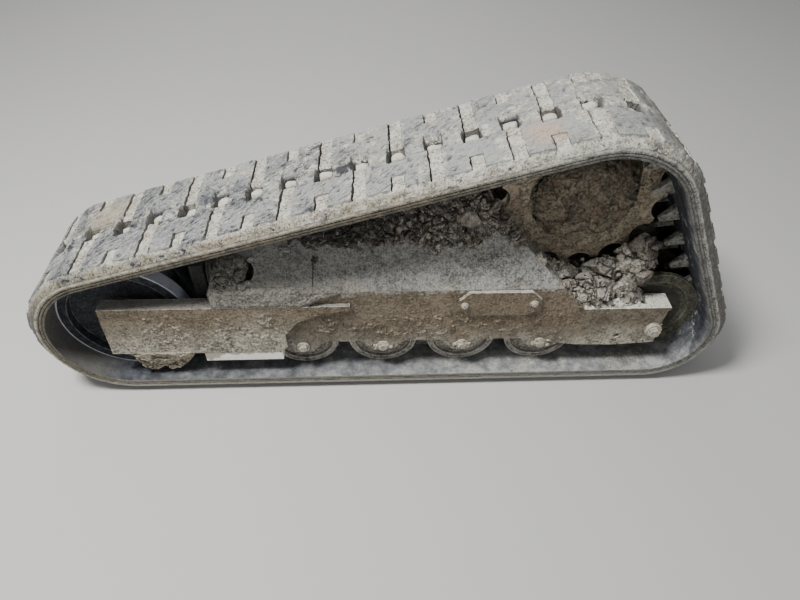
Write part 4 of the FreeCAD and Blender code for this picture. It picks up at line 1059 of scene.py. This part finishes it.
# under the sprocket: x, then y and z of the foot, the belly, the crest and the back of the bank
BANK = (
    (0.345, (-0.122, 0.405), (-0.105, 0.402), (-0.084, 0.396), (-0.066, 0.380)),
    (0.405, (-0.140, 0.350), (-0.115, 0.362), (-0.084, 0.357), (-0.066, 0.340)),
    (0.447, (-0.158, 0.310), (-0.125, 0.332), (-0.084, 0.342), (-0.066, 0.326)),
    (0.483, (-0.150, 0.262), (-0.128, 0.314), (-0.084, 0.340), (-0.066, 0.324)),
    (0.523, (-0.146, 0.258), (-0.126, 0.318), (-0.086, 0.346), (-0.066, 0.330)),
    (0.552, (-0.143, 0.258), (-0.125, 0.327), (-0.088, 0.357), (-0.068, 0.341)),
    (0.600, (-0.136, 0.258), (-0.122, 0.354), (-0.092, 0.390), (-0.070, 0.380)),
    (0.641, (-0.130, 0.258), (-0.119, 0.380), (-0.098, 0.430), (-0.074, 0.424)),
    (0.662, (-0.127, 0.262), (-0.117, 0.372), (-0.102, 0.422), (-0.082, 0.416)),
    (0.674, (-0.124, 0.290), (-0.115, 0.355), (-0.106, 0.395), (-0.092, 0.390)),
)
bank_x = np.linspace(BANK[0][0], BANK[-1][0], 170)
bank_w = np.linspace(0.0, 3.0, 120)
bank_places = np.zeros((len(bank_x), len(bank_w), 3))
for i, x in enumerate(bank_x):
    stops = [[np.interp(x, [row[0] for row in BANK], [row[k + 1][c] for row in BANK]) for c in range(2)] for k in range(4)]
    for j, w in enumerate(bank_w):
        bank_places[i, j] = (x, np.interp(w, range(4), [s[0] for s in stops]), np.interp(w, range(4), [s[1] for s in stops]))
for _ in range(8):
    bank_places[:, 1:-1] = (bank_places[:, :-2] + bank_places[:, 1:-1] * 2.0 + bank_places[:, 2:]) / 4.0
bank_out = np.cross(np.gradient(bank_places, axis=0), np.gradient(bank_places, axis=1))
bank_out /= np.linalg.norm(bank_out, axis=2, keepdims=True)
bank_mud = crusted("bank_mud", bank_places, bank_out, np.full(bank_places.shape[:2], 0.010), BLOCKS, 33, back=0.012, fine=1.0 * MM)
carried(bank_mud, clod_finish)
# slabs and clods on the bank: place, half length, depth and height, turn about Y; then crumbs
SLABS = (
    ((0.462, -0.102, 0.337), (0.036, 0.020, 0.015), -0.12), ((0.420, -0.104, 0.352), (0.024, 0.016, 0.012), -0.5),
    ((0.548, -0.090, 0.348), (0.044, 0.018, 0.014), 0.35), ((0.512, -0.112, 0.326), (0.026, 0.014, 0.011), 0.1),
    ((0.602, -0.084, 0.388), (0.026, 0.014, 0.014), 0.75), ((0.594, -0.110, 0.360), (0.028, 0.016, 0.016), 0.6),
    ((0.630, -0.096, 0.414), (0.022, 0.018, 0.024), 0.6), ((0.649, -0.106, 0.398), (0.018, 0.018, 0.032), 0.1),
    ((0.650, -0.120, 0.343), (0.023, 0.019, 0.026), 0.3), ((0.630, -0.118, 0.366), (0.020, 0.015, 0.026), 0.5),
    ((0.600, -0.127, 0.304), (0.018, 0.013, 0.030), -0.2), ((0.627, -0.127, 0.306), (0.015, 0.013, 0.034), 0.1),
    ((0.645, -0.122, 0.284), (0.016, 0.014, 0.018), 0.2), ((0.560, -0.128, 0.312), (0.020, 0.013, 0.015), 0.4),
    ((0.535, -0.133, 0.292), (0.020, 0.013, 0.013), -0.3), ((0.494, -0.134, 0.296), (0.018, 0.012, 0.012), -0.6),
    ((0.578, -0.132, 0.285), (0.014, 0.011, 0.014), 0.2))
# painted shade: the slabs high at the rear end and those at the front get a darker copy of the clod finish
shaded_clods = mud_finish("shaded_clods", (0.25, 0.225, 0.185), (0.06, 0.05, 0.04), 210.0, 0.5, 0.0018, dust=0.2, cracked=True, red=0.5)
for slab_name, coat, shaded in (("bank_slabs", clod_finish, False), ("shaded_slabs", shaded_clods, True)):
    rocks(slab_name, [(np.array(place), np.array(half), turn, 60 + n) for n, (place, half, turn) in enumerate(SLABS)
                      if (place[2] > 0.38 and place[0] > 0.61 or place[0] < 0.47) == shaded], 5, coat)
bank_crumbs = []
for n in range(90):
    i, j = (draw.integers(62, 108), draw.integers(4, 44)) if n < 65 else (draw.integers(20, 160), draw.integers(6, 86))
    size = draw.uniform(0.0018, 0.005)
    bank_crumbs.append((bank_places[i, j] + bank_out[i, j] * (0.010 + size * 0.3), size * draw.uniform(0.7, 1.4, 3), 0.0, 300 + n))
rocks("bank_crumbs", bank_crumbs, 2, clod_finish)

# a bed of crumbs and stones in front of the bank on the beam's flange
bed_x, bed_w = np.linspace(0.508, 0.668, 150), np.linspace(0.0, 1.0, 46)
bed_places, bed_thick = np.zeros((150, 46, 3)), np.zeros((150, 46))
for i, x in enumerate(bed_x):
    front = -0.1635 + 0.016 * share_of((x - 0.60) / 0.06) + 0.004 * waver(x * 60.0, 0.0, 2.0)
    for j, w in enumerate(bed_w):
        bed_places[i, j] = (x, front + (-0.118 - front) * w, 0.2600)
        bed_thick[i, j] = 0.0042 * min(w * 4.0, 1.0, (0.668 - x) / 0.02) * (0.8 + 0.7 * waver(x * 70.0, w * 4.0, 6.0)) + 0.0006
bed = crusted("flange_bed", bed_places, np.broadcast_to((0.0, 0.0, 1.0), bed_places.shape), bed_thick, CRUMBS, 61, back=0.003)
carried(bed, clod_finish)
bed_stones = []
for n in range(120):
    i, j = draw.integers(2, 142), draw.integers(1, 26)
    size = draw.uniform(0.0022, 0.0058)
    bed_stones.append((bed_places[i, j] + np.array((0.0, 0.0, bed_thick[i, j] + size * 0.35)), size * draw.uniform(0.7, 1.2, 3), 0.0, 1000 + n))
stone_pale = mud_finish("stone_pale", (0.80, 0.78, 0.72), (0.40, 0.38, 0.34), 300.0, 0.75, 0.0006, dust=0.3)
rocks("bed_stones", bed_stones, 2, stone_pale)

# over the final drive: a round cake on the cap and drum, its rim undercut above the sprocket's groove
HUB = (0.4749, 0.532)
HUB_PROFILE = ((0.0, -0.092), (0.080, -0.091), (0.104, -0.084), (0.120, -0.070), (0.129, -0.052))


def round_grid(count):
    """A square grid pressed into a round one of radius 1: its two coordinates."""
    u, v = np.meshgrid(np.linspace(-1.0, 1.0, count), np.linspace(-1.0, 1.0, count), indexing="ij")
    return u * np.sqrt(1.0 - v ** 2 / 2.0), v * np.sqrt(1.0 - u ** 2 / 2.0)


cake_x, cake_z = round_grid(150)
cake_r = np.hypot(cake_x, cake_z)
cake_turn = np.arctan2(cake_z, cake_x)
cake_rim = np.stack([np.cos(cake_turn), np.sin(cake_turn), cake_turn * 0.0], axis=2).reshape(-1, 3)
cake_wide = 0.117 * (1.0 + 0.03 * np.sin(cake_turn * 5.0) * np.sin(cake_turn * 3.0 + 1.0)
                     + 0.035 * uneven(cake_rim, 0.17, 6.0).reshape(cake_turn.shape))
cake_y = np.interp(cake_r * 0.129, [p[0] for p in HUB_PROFILE], [p[1] for p in HUB_PROFILE])
cake_places = np.stack([HUB[0] + cake_x * cake_wide, cake_y, HUB[1] + cake_z * cake_wide], axis=2)
cake_out = np.stack([cake_x * cake_r ** 4, np.full(cake_x.shape, -1.0), cake_z * cake_r ** 4], axis=2)
cake_out /= np.linalg.norm(cake_out, axis=2, keepdims=True)
hub_finish = mud_finish("caked_hub", (0.27, 0.23, 0.16), (0.07, 0.058, 0.042), 150.0, 0.5, 0.0035, dust=0.12, cracked=True, red=0.5)
hub_cake = crusted("hub_cake", cake_places, cake_out, np.full(cake_x.shape, 0.003),
                   ((0.060, 0.0016, 0.0026, 0.0050, 0.0030), (0.026, 0.0012, 0.0020, 0.0028, 0.0014), (0.009, 0.001, 0.0005, 0.0012, 0.0006)),
                   51, back=0.003, calm=2.4)
carried(hub_cake, hub_finish)
groove_lumps = []
for n in range(90):
    a = draw.uniform(2.6, 5.2) if n % 3 else draw.uniform(0.0, 6.28)
    size = draw.uniform(0.004, 0.012)
    reach = draw.uniform(0.118, 0.132)
    groove_lumps.append((np.array((HUB[0] + reach * math.cos(a), -0.038 - size * 0.5, HUB[1] + reach * math.sin(a))),
                         size * draw.uniform(0.8, 1.4, 3), 0.0, 500 + n))
rocks("groove_lumps", groove_lumps, 2, hub_finish)
# the ring's recess is filled to a crooked inner lip
lip_turn, lip_w = np.linspace(2.0, 7.1, 350), np.linspace(0.0, 1.0, 22)
lip_places, lip_thick = np.zeros((350, 22, 3)), np.zeros((350, 22))
for i, a in enumerate(lip_turn):
    ends = min((a - 2.0) / 0.35, (7.1 - a) / 0.5, 1.0)
    inner = 0.156 - (0.027 + 0.006 * waver(a * 2.2, 3.0, 0.0) + 0.004 * waver(a * 9.0, 1.0, 0.0)) * ends
    outer = 0.166 + 0.004 * waver(a * 6.0, 8.0, 0.0)
    for j, w in enumerate(lip_w):
        r = inner + (outer - inner) * w
        lip_places[i, j] = (HUB[0] + r * math.cos(a), -0.0555 + 0.004 * (1.0 - w) ** 2, HUB[1] + r * math.sin(a))
        lip_thick[i, j] = 0.0022 * min(1.0, (1.0 - w) * 3.5 - 0.1) + 0.0004
lip_mud = crusted("recess_lip", lip_places, np.broadcast_to((0.0, -1.0, 0.0), lip_places.shape), lip_thick,
                  ((0.030, 0.0014, 0.0020, 0.0030, 0.002), (0.012, 0.0010, 0.0008, 0.0014, 0.0010)), 57, back=0.0195, calm=2.0)
lip_finish = mud_finish("lip_mud", (0.47, 0.40, 0.285), (0.12, 0.10, 0.07), 190.0, 0.5, 0.0024, dust=0.15, cracked=True, red=0.4)
carried(lip_mud, lip_finish)

# below the front guard, between it and the belt: x, then how deep it hangs
clod_x = np.linspace(-0.676, -0.506, 120)
clod_w = np.linspace(0.0, 1.0, 60)
hang = np.interp(clod_x, (-0.676, -0.662, -0.64, -0.62, -0.60, -0.585, -0.56, -0.54, -0.52, -0.506),
                 (0.012, 0.044, 0.076, 0.072, 0.060, 0.074, 0.070, 0.056, 0.030, 0.012))
clod_places = np.zeros((120, 60, 3))
for i, x in enumerate(clod_x):
    for j, w in enumerate(clod_w):
        clod_places[i, j] = (x, -0.174 + 0.010 * (1.0 - w), 0.136 - hang[i] * (1.0 - w))
guard_clod = crusted("guard_clod", clod_places, np.broadcast_to((0.0, -0.94, 0.34), clod_places.shape),
                     np.full((120, 60), 0.009), ((0.034, 0.0014, 0.003, 0.005, 0.003), (0.012, 0.0010, 0.0012, 0.0020, 0.0012)), 8, back=0.030)
brown_clod = mud_finish("brown_clod", (0.40, 0.35, 0.26), (0.13, 0.105, 0.075), 180.0, 0.55, 0.0026, dust=0.3, cracked=True)
carried(guard_clod, brown_clod)

# grit stuck to the outboard faces: name, x from and to, z from and to, y of the face, finish, how much
for grit_name, x0, x1, z0, z1, face_y, coat, much in (
        ("guard_grit", -0.640, -0.262, 0.142, 0.286, -0.176, guard_mud, 0.0),
        ("plate_grit", -0.235, 0.470, 0.158, 0.262, -0.166, side_plate_mud, 0.0)):
    columns = int((x1 - x0) / 0.0021), int((z1 - z0) / 0.0021)
    grit_places, grit_thick = np.zeros(columns + (3,)), np.zeros(columns)
    for i, x in enumerate(np.linspace(x0, x1, columns[0])):
        for j, z in enumerate(np.linspace(z0, z1, columns[1])):
            grit_places[i, j] = (x, face_y, z)
            edge = min(x - x0, x1 - x, z - z0, z1 - z) / 0.02
            thickly = waver(x * 22.0, z * 30.0, face_y) + 0.5 * waver(x * 75.0, z * 75.0, 3.0)
            grit_thick[i, j] = 0.0016 * min(max(thickly * 1.6 + 0.45 + much, -1.0), 1.0) * min(edge, 1.0) - 0.0012 * max(1.0 - edge, 0.0)
    grit = crusted(grit_name, grit_places, np.broadcast_to((0.0, -1.0, 0.0), grit_places.shape), grit_thick,
                   ((0.017, 0.0009, 0.0010, 0.0020, 0.0008), (0.0075, 0.0007, 0.0010, 0.0015, 0.0006)), 77, back=0.002, fine=0.5 * MM, calm=5.0)
    carried(grit, coat)

# packed between the inboard plate's rear edge and the belt, from over the sprocket to the rear idler, coloured near
# black as painted shade
pack_s = np.linspace(RUNS[0][0] + RUNS[1][0] * 0.25, RUNS[0][0] + RUNS[1][0] + RUNS[2][0] + RUNS[3][0] * 0.25, 150)
pack_places, pack_out = np.zeros((150, 16, 3)), np.zeros((150, 16, 3))
for i, at in enumerate(pack_s):
    px, pz, nx, nz = on_belt(at)
    for j, deep in enumerate(np.linspace(46.0, 19.0, 16)):
        pack_places[i, j] = ((px - nx * deep) * MM, 0.074, (pz - nz * deep) * MM)
        pack_out[i, j] = (-0.3 * nx, -0.954, -0.3 * nz)
packed_edge = crusted("packed_edge", pack_places, pack_out, np.full((150, 16), 0.006), CRUMBS, 71, back=0.014)
carried(packed_edge, mud_finish("shaded_mud", (0.10, 0.088, 0.065), (0.03, 0.025, 0.018), 220.0, 0.4, 0.0016, dust=0.0, cracked=True))

# a fillet between the deck's foot and the guard's ledge, and a mound over the spring's hole and the deck's front edge
fillet_x, fillet_w = np.linspace(-0.432, -0.10, 240), np.linspace(0.0, 1.0, 34)
fillet_places, fillet_thick = np.zeros((240, 34, 3)), np.zeros((240, 34))
for i, x in enumerate(fillet_x):
    foot = 0.2965 + 0.036 * min(max((x + 0.215 + 0.014 * waver(x * 34.0, 2.0, 9.0)) / 0.10, 0.0), 1.0)
    for j, w in enumerate(fillet_w):
        z = foot + (0.349 - foot) * w
        fillet_places[i, j] = (x, -0.1765 + 0.0095 * min((z - 0.2965) / 0.0375, 1.0) + max(z - 0.336, 0.0) / math.sqrt(3.0), z)
        ends = min(max((-0.105 - x) / 0.06, 0.0), (x + 0.434) / 0.01, 1.0)
        fillet_thick[i, j] = 0.0042 * ends * min(1.0, w * 6.0 + 0.1, (1.05 - w) * 4.0) + 0.0003
fillet = crusted("deck_fillet", fillet_places, np.broadcast_to((0.0, -0.93, 0.37), fillet_places.shape), fillet_thick,
                 ((0.030, 0.001, 0.0016, 0.0025, 0.001), (0.012, 0.0008, 0.0006, 0.0012, 0.0006)), 93, back=0.005)
carried(fillet, mud_finish("fillet_grey", (0.29, 0.275, 0.235), (0.09, 0.084, 0.07), 220.0, 0.5, 0.0026, dust=0.1, cracked=True))
mound_x, mound_z = round_grid(96)
mound_places, mound_thick = np.zeros((96, 96, 3)), np.zeros((96, 96))
for i in range(96):
    for j in range(96):
        u, v = mound_x[i, j], mound_z[i, j]
        wide = 1.0 + 0.16 * waver(u * 2.2, v * 2.2, 4.0) + 0.07 * waver(u * 7.0, v * 7.0, 1.0)
        mound_places[i, j] = deck_place(-0.379 + 0.043 * u * wide + 0.014 * v, 0.381 + 0.041 * v * wide)
        mound_thick[i, j] = 0.017 * math.sqrt(max(1.0 - math.hypot(u, v) ** 2, 0.0)) + 0.0004
mound = crusted("hole_mound", mound_places, np.broadcast_to(DECK_OUT, mound_places.shape), mound_thick,
                ((0.036, 0.0014, 0.0035, 0.006, 0.003), (0.015, 0.0010, 0.0012, 0.0024, 0.0015),
                 (0.007, 0.0008, 0.0005, 0.0009, 0.0005)), 37, back=0.005)
carried(mound, mud_finish("mound_grey", (0.25, 0.23, 0.19), (0.06, 0.053, 0.042), 200.0, 0.5, 0.0028, dust=0.3, cracked=True))

# smaller lumps: round the spring's hole, a boss of mud and the weld seam down the deck, and on the bolts
deck_grey = mud_finish("deck_grey", (0.34, 0.33, 0.305), (0.08, 0.075, 0.065), 300.0, 0.5, 0.0012, dust=0.2)
hole_lumps = [(deck_place(x, z, off), np.array((half, half * 0.8, half)), 0.0, 640 + n) for n, (x, z, off, half) in enumerate((
    (-0.376, 0.384, -0.003, 0.015), (-0.368, 0.362, 0.0, 0.013), (-0.352, 0.354, 0.002, 0.012), (-0.366, 0.402, -0.004, 0.013),
    (-0.336, 0.360, 0.001, 0.010), (-0.388, 0.370, -0.004, 0.010), (-0.382, 0.398, -0.002, 0.010), (-0.326, 0.408, 0.0, 0.009),
    (-0.241, 0.430, 0.0, 0.013), (-0.252, 0.424, 0.0, 0.008)))]
rocks("deck_small_lumps", hole_lumps, 3, deck_grey)
weld_finish = mud_finish("weld_dark", (0.13, 0.105, 0.08), (0.03, 0.024, 0.02), 300.0, 0.4, 0.001, dust=0.0)
seam = [(deck_place(-0.1755 - 0.005 * k / 27.0 + 0.0008 * math.sin(k * 2.1), 0.414 - 0.0755 * k / 27.0, -0.0012),
         np.array((0.0026, 0.0028, 0.0036)), 0.0, 700 + k) for k in range(28)]
rocks("weld_seam", seam + [(deck_place(-0.171, 0.406, 0.001), np.array((0.010, 0.008, 0.012)), 0.2, 730)], 2, weld_finish)
pale_lump = mud_finish("pale_lump", (0.48, 0.43, 0.32), (0.17, 0.14, 0.09), 260.0, 0.62, 0.0012, dust=0.4)
bolt_lumps = []
for x, y, z, spread, count in ((-0.0102, -0.168, 0.1378, 0.018, 14), (0.2012, -0.168, 0.1378, 0.019, 18), (0.4126, -0.168, 0.1378, 0.020, 18),
                               (-0.2216, -0.167, 0.1378, 0.016, 5), (0.7089, -0.170, 0.183, 0.017, 16), (0.3721, -0.175, 0.2930, 0.010, 5)):
    for _ in range(count):
        a, size = draw.uniform(0.0, 6.28), draw.uniform(0.0022, 0.0062)
        reach = spread * draw.uniform(0.55, 1.1)
        place = np.array((x + reach * 1.2 * math.cos(a), y - size * 0.3, z + reach * 0.75 * math.sin(a)))
        bolt_lumps.append((place, size * draw.uniform(0.7, 1.2, 3), 0.0, 800 + len(bolt_lumps)))
rocks("bolt_lumps", bolt_lumps, 2, pale_lump)


# Loose stones and crumbs. Gravel lies on the rear beam's flange and on the bottom run.
strew_tree, strew_in, strew_end = node_tree_of("strew_pieces", [
    ("Piece", "Object"), ("Per square metre", "Float"), ("Spacing", "Float"), ("Smallest", "Float"), ("Largest", "Float"), ("Seed", "Int"),
    ("Finish", "Material")])
strewn = put("GeometryNodeDistributePointsOnFaces", {
    "Mesh": strew_in["Geometry"], "Distance Min": strew_in["Spacing"], "Density Max": strew_in["Per square metre"], "Seed": strew_in["Seed"]},
    distribute_method="POISSON")
strew_piece = put("GeometryNodeObjectInfo", {"Object": strew_in["Piece"]}).outputs["Geometry"]
FULL_TURN = 6.28
strew_turn = put("FunctionNodeRandomValue", {"Min": (0, 0, 0), "Max": (FULL_TURN,) * 3, "Seed": 3}, strew_tree, data_type="FLOAT_VECTOR").outputs[0]
strew_size = put("FunctionNodeRandomValue", {2: strew_in["Smallest"], 3: strew_in["Largest"], "Seed": 9}, data_type="FLOAT").outputs[1]
set_on(strewn.outputs[0], strew_piece, strew_in["Finish"], strew_end, Rotation=strew_turn, Scale=strew_size)


def patch(corners):
    """A flat patch for stones to lie on."""
    return mesh_of("patch", corners, [tuple(range(len(corners)))])


stone_mesh = rounded_block("stone", (1.0, 0.8, 0.62), levels=2, square=0.7)
roughen(stone_mesh, 0.7, 0.13, 4.0, flat=True)
stone = solid_of("stone", stone_mesh)
crumb_brown = mud_finish("crumb_brown", (0.46, 0.41, 0.31), (0.13, 0.105, 0.075), 300.0, 0.6, 0.0006, dust=0.3)
FLANGE_TOP = 0.2605
STREWN = (
    ("flange_crumbs", [(0.514, -0.163, FLANGE_TOP), (0.728, -0.163, FLANGE_TOP), (0.728, -0.114, FLANGE_TOP), (0.514, -0.114, FLANGE_TOP)],
     14000.0, 0.005, 0.0010, 0.0026, 6, crumb_brown),
    ("run_crumbs", [(0.60, -0.190, 0.047), (0.73, -0.185, 0.047), (0.74, -0.12, 0.047), (0.62, -0.13, 0.047)],
     42000.0, 0.0028, 0.0009, 0.0026, 7, crumb_brown),
)
for name, corners, count, apart, small, large, seed, coat in STREWN:
    laid_out = grown(name, patch(corners), strew_tree, {
        "Piece": stone, "Per square metre": count, "Spacing": apart, "Smallest": small, "Largest": large, "Seed": seed, "Finish": coat})
    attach(laid_out, "undercarriage")


# Bolts. Hexagon heads on washers hold the rollers, the cover and the rear idler's axle; mud
# has caked round the rollers' heads in lumps.
def bolt_head(name, across_flats, high, washer_r, washer_t):
    """A hexagon head on its washer, its axis along -Y and its seat at y 0, in metres."""
    points, faces = [], []
    hexagon = across_flats / math.sqrt(3.0)
    levels = [(washer_r, 0.0), (washer_r, washer_t), (washer_r * 0.9, washer_t * 1.3)]
    for r, y in levels:
        points += [(r * math.cos(math.pi * k / 12), -y, r * math.sin(math.pi * k / 12)) for k in range(24)]
    for y, r in ((washer_t * 1.3, 1.0), (washer_t + high * 0.82, 1.0), (washer_t + high, 0.86)):
        for k in range(24):
            a = math.pi * k / 12
            flat_a = (a % (math.pi / 3.0)) - math.pi / 6.0
            reach = hexagon * math.cos(math.pi / 6.0) / math.cos(flat_a) * r
            points.append((reach * math.cos(a), -y, reach * math.sin(a)))
    for ring in range(5):
        for k in range(24):
            a, b = ring * 24 + k, ring * 24 + (k + 1) % 24
            faces.append((a, b, b + 24, a + 24))
    faces.append(tuple(reversed(range(24))))
    faces.append(tuple(range(120, 144)))
    return mesh_of(name, points, faces)


bolt_tree, bolt_in, bolt_end = node_tree_of("set_bolts", [("Bolt", "Object"), ("Turn", "Float"), ("Seed", "Int"), ("Finish", "Material")])
bolt_piece = put("GeometryNodeObjectInfo", {"Object": bolt_in["Bolt"]}).outputs["Geometry"]
bolt_angle = put("FunctionNodeRandomValue", {2: 0.0, 3: bolt_in["Turn"], "Seed": bolt_in["Seed"]}, data_type="FLOAT").outputs[1]
bolt_turn = put("ShaderNodeCombineXYZ", {"Y": bolt_angle}).outputs[0]
set_on(bolt_in["Geometry"], bolt_piece, bolt_in["Finish"], bolt_end, Rotation=bolt_turn)
bolt_finish = steel_finish("bolt_dusty", (0.50, 0.46, 0.37), (0.17, 0.14, 0.10), 0.6, 0.15, lean=0.55)
ROLLER_X = (-0.2216, -0.0102, 0.2012, 0.4126)
BOLTS = (
    ("roller_bolts", [(x, -0.166, 0.1378) for x in ROLLER_X], 0.020, 0.009, 0.0165, 0.0035, 2),
    ("cover_bolts", [(0.1964, -0.174, 0.2901), (0.3721, -0.174, 0.2930)], 0.013, 0.006, 0.0095, 0.002, 3),
    ("rear_bolt", [(0.7089, -0.172, 0.183)], 0.027, 0.012, 0.021, 0.004, 4),
)
for name, spots, flats, high, washer_r, washer_t, seed in BOLTS:
    head = solid_of(name + "_head", bolt_head(name + "_head", flats, high, washer_r, washer_t))
    points = mesh_of(name + "_places", spots, [])
    set_in = grown(name, points, bolt_tree, {"Bolt": head, "Turn": 1.0, "Seed": seed, "Finish": bolt_finish})
    bpy.data.objects.remove(head)
    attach(set_in, "undercarriage")
bpy.data.objects.remove(stone)


bpy.data.objects.remove(cord_guide)
